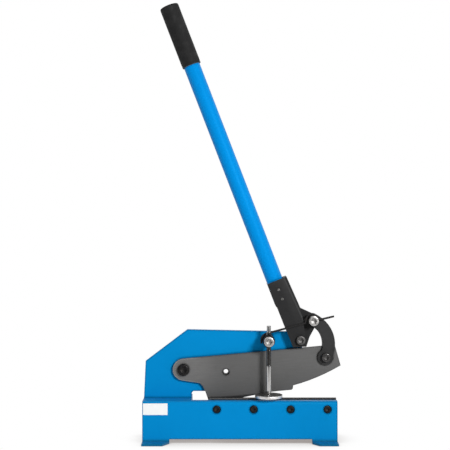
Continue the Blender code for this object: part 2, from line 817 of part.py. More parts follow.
def build_lever_plate(axis):
    """The plate between the cheeks that carries the links"""
    boss = (lever_arm_x, lever_arm_height)
    foot = (lever_plate_foot_x, lever_plate_foot_height)
    waist = (lever_plate_waist_x, lever_plate_waist_height)
    gusset = (lever_plate_gusset_x, lever_plate_gusset_height)
    start = tangent_angle(waist, boss, lever_boss_radius, 1)
    end = tangent_angle(gusset, boss, lever_boss_radius, -1)
    if start > end:
        start -= 2 * math.pi
    top = bracket_web_bottom - seat_gap
    web_right = bracket_right + bracket_flare
    outline = [
        (lever_plate_left_x, lever_plate_left_height),
        foot,
        waist,
    ]
    outline += arc(*boss, lever_boss_radius, start, end, arc_steps)
    outline += [
        gusset,
        (web_right, top),
        (lever_plate_inner_x, top),
        (lever_plate_left_x, lever_plate_inner_height),
    ]
    plate = outline_solid("lever_plate", outline, blade_front_y, blade_rear_y, axis,
                          materials["black_paint"])
    boolean(plate, hole_cutter("plate_pivot_hole", lever_pivot_radius + running_gap, 0.0, 0.0, axis))
    boolean(plate, hole_cutter("plate_link_hole", link_pivot_radius + running_gap, *boss, axis))


def build_handle(axis):
    """The handle tube, its grip and the two screws that hold it in the bracket"""
    foot = Matrix.Translation((handle_offset, blade_middle_y, 0.0))
    bore = handle_radius - handle_wall
    tube = [
        (handle_radius, handle_top),
        (handle_radius, handle_bottom),
        (bore, handle_bottom),
        (bore, handle_top),
    ]
    turned("handle_tube", tube, axis, foot, materials["blue_paint"], fine_steps, ring=True)
    inner = handle_radius + running_gap
    ceiling = handle_top + seat_gap
    top = ceiling + grip_end_wall
    bottom = top - grip_length
    corner = grip_edge * (1 - math.sqrt(0.5))
    grip = [
        (0.0, top),
        (grip_radius - grip_edge, top),
        (grip_radius - corner, top - corner),
        (grip_radius, top - grip_edge),
        (grip_radius, bottom + edge_break),
        (grip_radius - edge_break, bottom),
        (inner, bottom),
        (inner, ceiling),
        (0.0, ceiling),
    ]
    turned("handle_grip", grip, axis, foot, materials["black_rubber"], fine_steps)
    front = bracket_front_y - set_screw_proud
    for index, height in enumerate(set_screw_heights):
        prism("handle_set_screw_%d" % (index + 1), set_screw_radius, cheek_thickness + set_screw_proud,
              round_steps // 2, axis, along_y(handle_offset, front, height), materials["zinc"])


def build_lever_pivot(parent, lever_axis):
    """The bolt, spacer, washer and nut that carry the lever on the frame's arm"""
    x = lever_pivot_x
    z = lever_pivot_height
    seat_y = bracket_front_y - seat_gap
    nut_y = bracket_rear_y + seat_gap
    steel = materials["black_oxide"]
    cap_screw("lever_pivot_bolt", lever_pivot_radius, nut_y + nut_height + bolt_end_length - seat_y,
              lever_pivot_head_radius, lever_pivot_head_height, x, seat_y, z, parent, steel)
    nut("lever_pivot_nut", lever_pivot_radius, x, nut_y, z, parent, steel)
    bore = lever_pivot_radius + running_gap
    spacer_y = bracket_front_y + cheek_thickness + seat_gap
    washer("lever_pivot_spacer", bore, lever_spacer_radius, blade_front_y - seat_gap - spacer_y, lever_axis,
           along_y(0.0, spacer_y, 0.0), steel)
    rear_y = frame_rear_y + seat_gap
    rear_gap = bracket_rear_y - cheek_thickness - seat_gap - rear_y
    washer("lever_pivot_washer", bore, lever_spacer_radius, rear_gap, lever_axis,
           along_y(0.0, rear_y, 0.0), steel)


def link_outline():
    """The curved link from its upper pivot at the origin down to its lower pivot"""
    drop = link_length / 2
    centre = (-math.sqrt(link_arc_radius ** 2 - drop ** 2), -drop)
    upper = (0.0, 0.0)
    lower = (0.0, -link_length)
    outer = link_arc_radius + link_half_width
    inner = link_arc_radius - link_half_width
    outer_top = crossing_angle(centre, outer, upper, link_top_radius, -1)
    outer_low = crossing_angle(centre, outer, lower, link_low_radius, 1)
    inner_top = crossing_angle(centre, inner, upper, link_top_radius, -1)
    inner_low = crossing_angle(centre, inner, lower, link_low_radius, 1)
    lower_start = crossing_angle(lower, link_low_radius, centre, outer, -1)
    lower_end = crossing_angle(lower, link_low_radius, centre, inner, -1)
    upper_start = crossing_angle(upper, link_top_radius, centre, inner, 1)
    upper_end = crossing_angle(upper, link_top_radius, centre, outer, 1)
    lower_start, lower_end = clockwise(lower_start, lower_end)
    upper_start, upper_end = clockwise(upper_start, upper_end)
    points = arc(*centre, outer, outer_top, outer_low, arc_steps)
    points += arc(*lower, link_low_radius, lower_start, lower_end, arc_steps)[1:-1]
    points += arc(*centre, inner, inner_low, inner_top, arc_steps)
    points += arc(*upper, link_top_radius, upper_start, upper_end, arc_steps)[1:-1]
    points.reverse()
    return points


def clockwise(start, end):
    """Bring two angles within one turn of each other, running clockwise"""
    while end > start:
        end -= 2 * math.pi
    while end <= start - 2 * math.pi:
        end += 2 * math.pi
    return start, end


def build_links(axis):
    """The two links and the bolt that ties them to the upper blade"""
    outline = link_outline()
    pieces = (
        ("link_front", front_link_front_y, front_link_rear_y),
        ("link_rear", rear_link_front_y, rear_link_rear_y),
    )
    for name, low, high in pieces:
        link = outline_solid(name, outline, low, high, axis, materials["black_paint"])
        boolean(link, hole_cutter(name + "_upper_hole", link_pivot_radius + running_gap, 0.0, 0.0,
                                  axis))
        boolean(link, hole_cutter(name + "_lower_hole", link_blade_radius + running_gap, 0.0,
                                  -link_length, axis))
    seat_y = front_link_front_y - seat_gap
    nut_y = rear_link_rear_y + seat_gap
    cap_screw("link_blade_bolt", link_blade_radius, nut_y + nut_height + bolt_end_length - seat_y,
              link_blade_head_radius, link_blade_head_height, 0.0, seat_y, -link_length, axis,
              materials["black_oxide"])
    nut("link_blade_nut", link_blade_radius, 0.0, nut_y, -link_length, axis, materials["black_oxide"])


def build_link_pivot(lever_axis):
    """The bright bolt that carries the links and the latch wire on the lever"""
    x = lever_arm_x
    z = lever_arm_height
    seat_y = wire_run_y - wire_radius - wire_gap
    nut_y = rear_link_rear_y + seat_gap
    cap_screw("link_pivot_bolt", link_pivot_radius, nut_y + nut_height + bolt_end_length - seat_y,
              link_pivot_head_radius, link_pivot_head_height, x, seat_y, z, lever_axis, materials["zinc"])
    nut("link_pivot_nut", link_pivot_radius, x, nut_y, z, lever_axis, materials["black_oxide"])
    spacer_y = coil_rear_y + wire_radius + wire_gap
    washer("link_pivot_spacer", link_pivot_radius + running_gap, link_pivot_head_radius,
           front_link_front_y - seat_gap - spacer_y, lever_axis, along_y(x, spacer_y, z), materials["zinc"])


def latch_route():
    """The middle line of the latch wire: hook, run, coil round the bolt and tail"""
    run_y = wire_run_y
    stud_x = hold_down_x - link_pivot_x
    stud_z = stud_height - link_pivot_height
    hook_radius = stud_radius + hook_gap + wire_radius
    route = [Vector((stud_x - hook_radius, run_y, stud_z - hook_leg))]
    for x, z in arc(stud_x, stud_z, hook_radius, math.pi, math.pi / 2 + wire_slope, hook_steps):
        route.append(Vector((x, run_y, z)))
    hook_end = route[-1]
    run_end_z = hook_end.z + (wire_run_end_x - hook_end.x) * math.tan(wire_slope)
    run_end = Vector((wire_run_end_x, run_y, run_end_z))
    route.append(run_end)
    coil_first = Vector((-coil_lead_radius, run_y, 0.0))
    corner_z = run_end_z - (coil_lead_radius + wire_run_end_x) * math.tan(wire_slope)
    corner = Vector((-coil_lead_radius, run_y, corner_z))
    route += quadratic(run_end, corner, coil_first, wire_bend_steps)
    count = round(coil_sweep / coil_step)
    for step in range(1, count + 1):
        share = step / count
        angle = coil_start - coil_sweep * share
        loose = max(0.0, 1.0 - coil_sweep * share / coil_lead_sweep)
        radius = coil_radius + (coil_lead_radius - coil_radius) * loose * (2 - loose)
        y = run_y + (coil_rear_y - run_y) * share
        route.append(Vector((radius * math.cos(angle), y, radius * math.sin(angle))))
    coil_last = route[-1]
    end_angle = coil_start - coil_sweep
    heading = Vector((math.sin(end_angle), 0.0, -math.cos(end_angle)))
    tail_bend = Vector((tail_bend_x, coil_last.y, tail_bend_height))
    slope = math.tan(tail_slope)
    gap = coil_last.z - tail_bend.z - slope * (coil_last.x - tail_bend.x)
    reach = gap / (slope * heading.x - heading.z)
    route += quadratic(coil_last, coil_last + heading * reach, tail_bend, wire_bend_steps)
    tail_z = tail_bend_height + (tail_end_x - tail_bend_x) * slope
    route.append(Vector((tail_end_x, coil_last.y, tail_z)))
    return route


def build_latch(axis):
    """The latch wire, hooked over the hold-down stud"""
    route = latch_route()
    curve = bpy.data.curves.new("latch_wire", 'CURVE')
    curve.dimensions = '3D'
    curve.bevel_depth = wire_radius
    curve.bevel_resolution = wire_sides_resolution
    curve.use_fill_caps = True
    spline = curve.splines.new('POLY')
    spline.points.add(len(route) - 1)
    for point, place_at in zip(spline.points, route):
        point.co = (*place_at, 1.0)
    drawn = bpy.data.objects.new("latch_wire", curve)
    parts.objects.link(drawn)
    wire = solid_from_curve(drawn, axis, materials["black_oxide"])
    smooth_rounds(wire.data)


def build_stud(parent):
    """The stud in the frame plate that holds the hold-down rod, with its nut and clamp bolt"""
    shoulder_y = frame_front_y - seat_gap
    nut_y = frame_rear_y + seat_gap
    reach = nut_y + nut_height + bolt_end_length - stud_front_y
    shoulder = shoulder_y - stud_front_y
    profile = [
        (0.0, 0.0),
        (stud_radius - edge_break, 0.0),
        (stud_radius, -edge_break),
        (stud_radius, -shoulder),
        (stud_shank_radius, -shoulder),
        (stud_shank_radius, -reach + edge_break),
        (stud_shank_radius - edge_break, -reach),
        (0.0, -reach),
    ]
    stud = turned("hold_down_stud", profile, parent, along_y(hold_down_x, stud_front_y, stud_height),
                  materials["black_oxide"])
    hole_top = stud_height + stud_radius + overrun
    rod_hole = prism("stud_rod_hole", rod_radius + running_gap, 2 * (stud_radius + overrun),
                     round_steps, parent, Matrix.Translation((hold_down_x, hold_down_y, hole_top)))
    boolean(stud, rod_hole)
    tapped = hole_cutter("stud_tapped_hole", stud_shank_radius + running_gap, hold_down_x,
                         stud_height, parent, stud_front_y - overrun, hold_down_y)
    boolean(stud, tapped)
    nut("hold_down_stud_nut", stud_shank_radius, hold_down_x, nut_y, stud_height, parent,
        materials["black_oxide"])
    seat_y = stud_front_y - seat_gap
    tip_y = hold_down_y - rod_radius - seat_gap
    cap_screw("hold_down_clamp_bolt", stud_shank_radius, tip_y - seat_y, clamp_bolt_head_radius,
              clamp_bolt_head_height, hold_down_x, seat_y, stud_height, parent, materials["zinc"])


def build_hold_down(axis):
    """The hold-down rod and the round pad on its foot, in a frame with the bench at zero"""
    upright = Matrix.Identity(4)
    socket_floor = pad_bottom + pad_thickness - pad_socket_depth
    rod_bottom = socket_floor + running_gap
    rod_top = stud_height + rod_rise
    rod = [
        (0.0, rod_top),
        (rod_tip_radius - edge_break, rod_top),
        (rod_tip_radius, rod_top - edge_break),
        (rod_tip_radius, rod_top - rod_tip_length),
        (rod_radius, rod_top - rod_tip_length - edge_break),
        (rod_radius, rod_shoulder),
        (rod_smooth_radius, rod_shoulder - edge_break),
        (rod_smooth_radius, rod_bottom),
        (0.0, rod_bottom),
    ]
    turned("hold_down_rod", rod, axis, upright, materials["zinc"])
    bore = rod_smooth_radius + running_gap
    top = pad_bottom + pad_thickness
    pad = [
        (0.0, socket_floor),
        (bore, socket_floor),
        (bore, top),
        (pad_radius - edge_break, top),
        (pad_radius, top - edge_break),
        (pad_radius, pad_bottom + edge_break),
        (pad_radius - edge_break, pad_bottom),
        (0.0, pad_bottom),
    ]
    turned("hold_down_pad", pad, axis, upright, materials["zinc"], fine_steps)


def build_label(parent):
    """The blank label stuck on the front wall"""
    left = -base_length / 2 + label_inset
    rear = front_face_y - running_gap
    box("blank_label", (left, rear - label_thickness, label_top - label_height),
        (left + label_width, rear, label_top), parent, materials["white_label"])


def build_shear():
    """All pieces of the shear, each moving group on the empty of its joint"""
    origin = new_empty("bench_shear_origin", None, (-origin_shift_x, 0.0, 0.0))
    blade_axis = new_empty("blade_axis", origin, (blade_pivot_x, 0.0, blade_pivot_height), blade_tilt)
    lever_axis = new_empty("lever_axis", origin, (lever_pivot_x, 0.0, lever_pivot_height), handle_lean)
    link_axis = new_empty("link_axis", origin, (link_pivot_x, 0.0, link_pivot_height), link_turn)
    latch_axis = new_empty("latch_axis", origin, (link_pivot_x, 0.0, link_pivot_height))
    hold_down_axis = new_empty("hold_down_axis", origin, (hold_down_x, hold_down_y, 0.0))
    build_base(origin)
    build_frame_plate(origin)
    build_lower_blade(origin)
    build_label(origin)
    build_upper_blade(blade_axis)
    build_blade_pivot(origin)
    build_lever_bracket(lever_axis)
    build_lever_plate(lever_axis)
    build_handle(lever_axis)
    build_lever_pivot(origin, lever_axis)
    build_links(link_axis)
    build_link_pivot(lever_axis)
    build_latch(latch_axis)
    build_stud(origin)
    build_hold_down(hold_down_axis)


for old in list(bpy.data.objects):
    bpy.data.objects.remove(old)
parts = new_collection("bench_shear")
cutters = new_collection("cutters")
materials = {
    "blue_paint": new_material("blue_paint", (0.005, 0.22, 0.62), 0.35, 0.0),
    "black_paint": new_material("black_paint", (0.02, 0.02, 0.022), 0.45, 0.0),
    "black_rubber": new_material("black_rubber", (0.015, 0.015, 0.016), 0.75, 0.0),
    "black_oxide": new_material("black_oxide", (0.025, 0.025, 0.028), 0.40, 0.8),
    "ground_steel": new_material("ground_steel", (0.20, 0.20, 0.20), 0.40, 0.9),
    "dark_steel": new_material("dark_steel", (0.08, 0.08, 0.08), 0.45, 0.8),
    "zinc": new_material("zinc", (0.70, 0.70, 0.68), 0.25, 1.0),
    "white_label": new_material("white_label", (0.85, 0.85, 0.84), 0.50, 0.0),
}
build_shear()
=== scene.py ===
"""The finished bench shear: rounded and threaded pieces, procedural finishes, studio and camera"""

import json
import math

import bmesh
import bpy
from mathutils import Matrix, Vector


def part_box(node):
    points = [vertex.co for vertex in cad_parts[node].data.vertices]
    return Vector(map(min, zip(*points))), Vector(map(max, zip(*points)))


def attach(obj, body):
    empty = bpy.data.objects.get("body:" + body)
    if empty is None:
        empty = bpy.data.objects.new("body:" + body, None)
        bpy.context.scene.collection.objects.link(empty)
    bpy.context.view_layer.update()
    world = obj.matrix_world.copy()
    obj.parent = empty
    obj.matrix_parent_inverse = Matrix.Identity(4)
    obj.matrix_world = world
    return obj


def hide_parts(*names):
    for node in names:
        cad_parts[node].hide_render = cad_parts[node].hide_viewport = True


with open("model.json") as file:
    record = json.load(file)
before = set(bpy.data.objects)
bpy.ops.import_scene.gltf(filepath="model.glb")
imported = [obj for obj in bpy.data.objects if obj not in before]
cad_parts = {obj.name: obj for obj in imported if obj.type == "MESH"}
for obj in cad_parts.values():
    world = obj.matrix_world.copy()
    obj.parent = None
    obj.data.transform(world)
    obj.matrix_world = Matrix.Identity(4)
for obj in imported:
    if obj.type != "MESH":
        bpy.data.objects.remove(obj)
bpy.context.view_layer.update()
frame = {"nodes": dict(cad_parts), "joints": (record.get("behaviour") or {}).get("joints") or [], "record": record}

# Camera of the photograph: level, square to the front of the shear
camera_place = (-0.0414, -2.476, 0.520)
camera_lens = 81.28
sensor_width = 36.0

# Studio: a key light from the upper right, white behind and beside the shear, dark in front
floor_radius = 14.0
floor_drop = 0.0002
floor_grey = 0.80
floor_speckle_size = 0.004
floor_speckle = 0.006
shadow_reach = 0.11
shadow_samples = 16
open_full = 0.92
shadow_colour = (0.34, 0.31, 0.295)
white = (1.0, 1.0, 1.0)
front_ambient = 0.26
back_ambient = 0.95
left_ambient = 0.55
top_ambient_share = 0.40
front_gloss = 0.20
back_gloss = 1.0
sweep_front = -1.60
sweep_back = -0.10
near_direction = (0.62, 0.0, 0.78)
far_gloss_share = 0.55
box_gloss = 0.25
box_inner = math.cos(math.radians(14))
box_outer = math.cos(math.radians(42))
light_aim = Vector((0.0, 0.0, 0.25))
key_place = Vector((1.25, -2.75, 1.25))
key_size = 0.55
key_power = 76.0

# Colours
paint_blue = (0.0010, 0.238, 0.580)
paint_blue_deep = (0.0008, 0.222, 0.540)
# Painted shade on the enamel's corners
paint_blue_edge_shade = (0.0008, 0.062, 0.150)
# Painted shade in the enamel's crevices, also the colour of the walls' painted shade to the right
paint_blue_crevice_shade = (0.0006, 0.036, 0.080)
paint_sheen_tint = (0.06, 0.60, 1.0)
tube_blue = (0.0010, 0.246, 0.670)
tube_blue_deep = (0.0008, 0.234, 0.630)
dust_colour = (0.20, 0.25, 0.29)
# Painted shade near the floor, on the feet
foot_shade = (0.012, 0.100, 0.110)
satin_black = (0.0090, 0.0090, 0.0094)
satin_black_pale = (0.0130, 0.0130, 0.0135)
satin_black_edge = (0.034, 0.034, 0.035)
link_black = (0.0190, 0.0190, 0.0192)
link_black_pale = (0.0260, 0.0260, 0.0264)
rubber_black = (0.0130, 0.0130, 0.0132)
rubber_black_pale = (0.0185, 0.0185, 0.0185)
rubber_speck = (0.040, 0.040, 0.040)
# Painted highlight on the grip's lower end
rubber_end_highlight = (0.110, 0.140, 0.170)
oxide_black = (0.014, 0.0135, 0.014)
oxide_brown = (0.024, 0.021, 0.019)
oxide_worn = (0.24, 0.235, 0.23)
oxide_chipped = (0.16, 0.155, 0.15)
oxide_sheen_tint = (0.35, 0.35, 0.35)
steel_grey = (0.174, 0.172, 0.169)
steel_grey_pale = (0.210, 0.207, 0.204)
steel_streak = (0.130, 0.129, 0.127)
steel_stain = (0.125, 0.118, 0.108)
# Painted shade on the blade, to the right and downward
steel_shade = (0.056, 0.056, 0.056)
steel_low = (0.070, 0.070, 0.070)
# Painted dark reflection in the ground band along the blade's edge
steel_edge_reflection = (0.010, 0.010, 0.010)
steel_corner = (0.030, 0.030, 0.030)
# Bare steel in the scratches, and a painted highlight on the edges of the blade's round end
steel_bare_and_highlight = (0.36, 0.355, 0.35)
steel_dark = (0.012, 0.012, 0.0125)
# Painted shade in the blade's crevices
steel_crevice_shade = (0.006, 0.006, 0.006)
zinc_bright = (0.54, 0.535, 0.53)
zinc_pale = (0.62, 0.605, 0.59)
zinc_dull = (0.46, 0.45, 0.44)
zinc_pad = (0.80, 0.795, 0.785)
zinc_grimy = (0.20, 0.197, 0.19)
# Painted shade in zinc corners, on the pad's top and in the rod's thread grooves; also the grimy zinc's own dull
# colour
zinc_shade_and_grime = (0.070, 0.068, 0.066)
label_white = (0.90, 0.91, 0.91)
label_worn = (0.82, 0.83, 0.825)
label_edge = (0.50, 0.53, 0.56)

# Samples of the masks that find corners and crevices
edge_samples = 4
crevice_samples = 8

# Blue enamel: how large its patterns are, how far its masks reach and how deep its bumps go
enamel_cloud_size = 0.070
enamel_edge_reach = 0.0064
enamel_crevice_reach = 0.008
enamel_dust_size = 0.030
enamel_chip_reach = 0.0022
enamel_chip_size = 0.0055
enamel_chip_depth = 0.00012
enamel_scuff_size = 0.0012
enamel_scuff_stretch = (26.0, 26.0, 1.0)
enamel_scuffed_size = 0.12
enamel_scuff_roughness = 0.16
enamel_gloss_size = 0.035
enamel_peel_size = 0.0030
enamel_peel_depth = 0.00006
enamel_wave_size = 0.022
enamel_wave_depth = 0.00012
# Where the painted shade near the floor starts and where it is full
foot_shade_top = 0.014
foot_shade_full = 0.004

# The wall of the base plates, darker to the right
wall_shade_left = -0.05
wall_shade_right = 0.235
wall_shade_top = 0.118
wall_shade_fade = 0.02
wall_shade_share = 0.14

# Black powder coat
black_cloud_size = 0.018
black_edge_reach = 0.0014
black_chip_size = 0.0045
black_chip_depth = 0.00010
black_rubbed_size = 0.040
black_grain_size = 0.0011
black_grain_depth = 0.00005
black_wave_size = 0.016
black_wave_depth = 0.00010

# Rubber
rubber_rubbed_size = 0.020
rubber_speck_size = 0.0016
rubber_pebble_size = 0.0017
rubber_pebble_depth = 0.00016
rubber_wave_size = 0.010
rubber_wave_depth = 0.00020
# Where the painted highlight on the grip's lower end starts and where it is full
rubber_end_highlight_top = 0.0008
rubber_end_highlight_full = 0.0002

# How much rougher the dull patches of oxide and zinc are
gloss_spread = 0.12

# Black oxide
oxide_cast_size = 0.009
oxide_worn_size = 0.0045
oxide_edge_reach = 0.0007
oxide_gloss_size = 0.006
oxide_least_worn_share = 0.6
oxide_grain_size = 0.0008
oxide_grain_depth = 0.00002

# Zinc
zinc_cloud_size = 0.012
zinc_pit_size = 0.0018
zinc_crevice_reach = 0.008
rod_crevice_reach = 0.0015
# Fade of the rod's oil and painted shade at both ends of the thread
rod_oil_and_shade_fade = 0.0005
zinc_gloss_size = 0.008
zinc_mark_size = 0.0005
zinc_mark_stretch = (6.0, 6.0, 1.0)
zinc_mark_depth = 0.000012

# Ground steel, along the blade from its pivot; the no_band pair puts the edge band out of reach
steel_line_size = 0.00045
steel_line_stretch = (60.0, 1.0, 1.0)
steel_line_depth = 0.000010
steel_streak_size = 0.0035
steel_streak_stretch = (14.0, 1.0, 1.0)
steel_stain_size = 0.028
steel_edge_reach = 0.0050
steel_crevice_reach = 0.006
steel_scratch_size = 0.0007
steel_scratch_stretch = (30.0, 1.0, 3.0)
steel_scratch_turn = 0.5
steel_scratch_depth = 0.00002
# The blade's edges take a painted highlight up to here from the round end, and are dark from the next
lit_corner_end = 0.02
dark_corner_start = 0.05
edge_band_low = -0.0765
edge_band_high = -0.0715
no_band_low = -1.0
no_band_high = -0.9
shade_high = 0.005
shade_left = 0.010
shade_right = 0.110
shade_left_share = 0.18
shade_right_share = 0.60

# Vinyl
vinyl_worn_size = 0.010
vinyl_edge_reach = 0.0008
vinyl_fibre_size = 0.0006
vinyl_fibre_depth = 0.00001
vinyl_wave_size = 0.012
vinyl_wave_depth = 0.00008

# Meshes
weld_distance = 0.000002
flat_angle = math.radians(0.4)
corner_angle = math.radians(30)
corner_segments = 3
turned_steps = 96
corner_steps = 4
thread_depth_share = 0.61
thread_land_share = 1.25
thread_flank_share = 3.2
rows_per_pitch = 8
slip_clearance = 0.00015

# Screws: depths and pitch in metres, the rest as shares of the socket, head, rounded edge or shank
knurl_depth = 0.00030
socket_cone_share = 0.16
socket_point_share = 0.12
socket_chamfer_share = 0.10
socket_rim_share = 1.12
socket_round_share = 1.02
cap_socket_share = 0.58
cap_socket_depth = 0.0055
cap_edge_share = 0.13
cap_lead_share = 0.14
cap_lead_limit = 0.0009
knurl_start_share = 1.2
knurl_end_share = 0.6
cap_foot_share = 0.3
set_socket_share = 0.55
set_socket_depth = 0.0030
set_lead_share = 0.18
set_thread_start_share = 1.2
set_pitch = 0.0010

# Nuts: shares of the corner radius, the flats' radius and the chamfer's height, and the countersink
nut_slope_share = 0.10
nut_face_share = 0.96
nut_middle_share = 1.04
nut_rim_share = 1.10
nut_corner_share = 1.6
nut_sink = 0.0008

# The rod and its pad
rod_tip_radius = 0.0050
rod_radius = 0.0060
rod_smooth_radius = 0.0055
rod_tip_length = 0.0150
rod_smooth_length = 0.0714
rod_pitch = 0.00175
rod_steps = 64
rod_tip_edge = 0.0009
rod_thread_start = 0.0006
rod_shoulder = 0.0005
rod_end_edge = 0.0004
pad_edge = 0.0011
pad_socket_depth = 0.0035
pad_socket_rim = 0.0004

# The handle tube and its grip, along the lever from its pivot
handle_lean = math.radians(21.12)
handle_across = -0.0060
handle_depth = -0.0118
handle_bottom = 0.0955
handle_top = 0.8619
tube_radius = 0.020
tube_wall = 0.003
tube_edge = 0.0004
grip_radius = 0.0230
grip_top = 0.8662
grip_length = 0.1544
grip_edge = 0.003
grip_lip_edge = 0.0010
grip_lip_length = 0.0060
grip_lip_groove = 0.0003
grip_lip_slope = 0.0010
grip_vent_radius = 0.0022
grip_vent_depth = 0.0030
grip_vent_rim = 0.0004
grip_seam = 0.00025
grip_seam_gap = 0.0010
grip_seam_rise = 0.0020
grip_end_gap = 0.0003
grip_end_radius = 0.0060

# Weld beads
bead_radius = 0.0021
bead_ripple = 0.0016
bead_station = 0.0004
bead_sides = 12
bead_taper_rows = 5
bead_end_share = 0.35
bead_low_share = 0.86
bead_ripple_share = 0.10
bead_wander_share = 0.03
bead_wander_rates = (310.0, 173.0)
bead_wander_phase = 1.0
web_weld_start = (-0.2265, 0.0060, 0.1004)
web_weld_end = (-0.1290, 0.0060, 0.1004)
rib_weld_from_top = 0.008
rib_weld_from_bottom = 0.006

# The latch wire is drawn out again to its full thickness where smoothing thins it
wire_growth = 0.00055
wire_smoothing = 2

blade_tilt = math.radians(5.26)
pivots = {joint["name"]: joint.get("pos_m") for joint in frame["joints"]}
blade_pivot = pivots["blade_swing"]
lever_pivot = pivots["handle_swing"]
bodies = frame["record"]["behaviour"]["bodies"]
body_of = {node: body for body, members in bodies.items() for node in members}


class Nodes:
    """A node tree with short names for the sums that the finishes and the studio share"""

    def __init__(self, tree):
        self.tree = tree

    def add(self, kind, inputs=(), **settings):
        """Add a node with its settings and its (socket, value or link) pairs"""
        node = self.tree.nodes.new(kind)
        for key, value in settings.items():
            setattr(node, key, value)
        for socket, value in inputs:
            self.feed(node.inputs[socket], value)
        return node

    def feed(self, socket, value):
        """Link an output to a socket, or set the socket's number or colour"""
        if isinstance(value, bpy.types.NodeSocket):
            self.tree.links.new(value, socket)
        elif isinstance(value, tuple) and socket.type == 'RGBA':
            socket.default_value = (*value, 1.0)
        else:
            socket.default_value = value

    def band(self, value, low, high, start=0.0, end=1.0):
        """A smooth step from start to end while the value goes from low to high"""
        step = self.add("ShaderNodeMapRange", [("Value", value), ("From Min", low), ("From Max", high),
                                               ("To Min", start), ("To Max", end)],
                        interpolation_type='SMOOTHSTEP')
        return step.outputs["Result"]

    def sum(self, operation, first, second):
        """One sum of two values"""
        return self.add("ShaderNodeMath", [(0, first), (1, second)], operation=operation).outputs[0]

    def between(self, share, first, second):
        """A share of the second value over the first"""
        return self.add("ShaderNodeMix", [(0, share), (2, first), (3, second)]).outputs[0]

    def mix(self, share, first, second):
        """A share of the second colour over the first"""
        blend = self.add("ShaderNodeMix", [(0, share), (6, first), (7, second)], data_type='RGBA')
        return blend.outputs[2]

    def part(self, vector, axis):
        """One coordinate of a vector"""
        return self.add("ShaderNodeSeparateXYZ", [(0, vector)]).outputs[axis]

    def facing(self, first, second):
        """How far two directions agree: 1 where they are the same, -1 where they are opposite"""
        product = self.add("ShaderNodeVectorMath", [(0, first), (1, second)], operation='DOT_PRODUCT')
        return product.outputs["Value"]


class Finish(Nodes):
    """A node material whose patterns follow the point on the piece at rest, in metres"""

    def __init__(self, name, metallic=0.0, specular=0.5):
        self.material = bpy.data.materials.new(name)
        self.material.use_nodes = True
        super().__init__(self.material.node_tree)
        self.shader = self.tree.nodes["Principled BSDF"]
        self.shader.inputs["Metallic"].default_value = metallic
        self.shader.inputs["Specular IOR Level"].default_value = specular
        self.point = self.add("ShaderNodeTexCoord").outputs["Object"]
        self.geometry = self.add("ShaderNodeNewGeometry")

    def local(self, origin, turn):
        """The point in a frame with its own origin, turned about Y"""
        moved = self.add("ShaderNodeMapping", [("Vector", self.point), ("Location", origin),
                                               ("Rotation", (0.0, turn, 0.0))], vector_type='TEXTURE')
        return moved.outputs["Vector"]

    def noise(self, size, detail=3.0, roughness=0.55, stretch=(1.0, 1.0, 1.0), point=None):
        """Soft random patches of a size, drawn out by the stretch along each axis"""
        scale = tuple(1.0 / share for share in stretch)
        drawn = self.add("ShaderNodeMapping", [("Vector", point or self.point), ("Scale", scale)])
        cloud = self.add("ShaderNodeTexNoise", [("Vector", drawn.outputs["Vector"]), ("Scale", 1.0 / size),
                                                ("Detail", detail), ("Roughness", roughness)])
        return cloud.outputs["Fac"]

    def cells(self, size):
        """Distance to the nearest of many scattered points, for pebbles"""
        grain = self.add("ShaderNodeTexVoronoi", [("Vector", self.point), ("Scale", 1.0 / size)])
        return grain.outputs["Distance"]

    def edge(self, reach):
        """How near the surface is to a corner, from 0 on a flat to 1 on the corner"""
        rounded = self.add("ShaderNodeBevel", [("Radius", reach)], samples=edge_samples)
        likeness = self.facing(rounded.outputs[0], self.geometry.outputs["Normal"])
        return self.band(likeness, low=0.995, high=0.90)

    def crevice(self, reach):
        """1 in a corner between two surfaces, 0 in the open"""
        inside = self.add("ShaderNodeAmbientOcclusion", [("Distance", reach)], samples=crevice_samples)
        return self.band(inside.outputs["AO"], low=0.95, high=0.45)

    def upward(self):
        """1 where the surface faces up, 0 where it stands"""
        return self.band(self.part(self.geometry.outputs["Normal"], 2), low=0.55, high=0.95)

    def over(self, under, colour, mask, share):
        """A colour over the one under it, where the mask is 1, up to a share"""
        return self.mix(self.sum('MULTIPLY', mask, share), under, colour)

    def relief(self, height, depth, under=None):
        """Bump of a depth in metres, over an earlier bump"""
        inputs = [("Height", height), ("Distance", depth), ("Strength", 1.0)]
        if under is not None:
            inputs.append(("Normal", under))
        return self.add("ShaderNodeBump", inputs).outputs["Normal"]

    def done(self, colour, roughness, normal):
        """Wire the colour, roughness and bump to the shader"""
        self.feed(self.shader.inputs["Base Color"], colour)
        self.feed(self.shader.inputs["Roughness"], roughness)
        self.feed(self.shader.inputs["Normal"], normal)
        return self.material


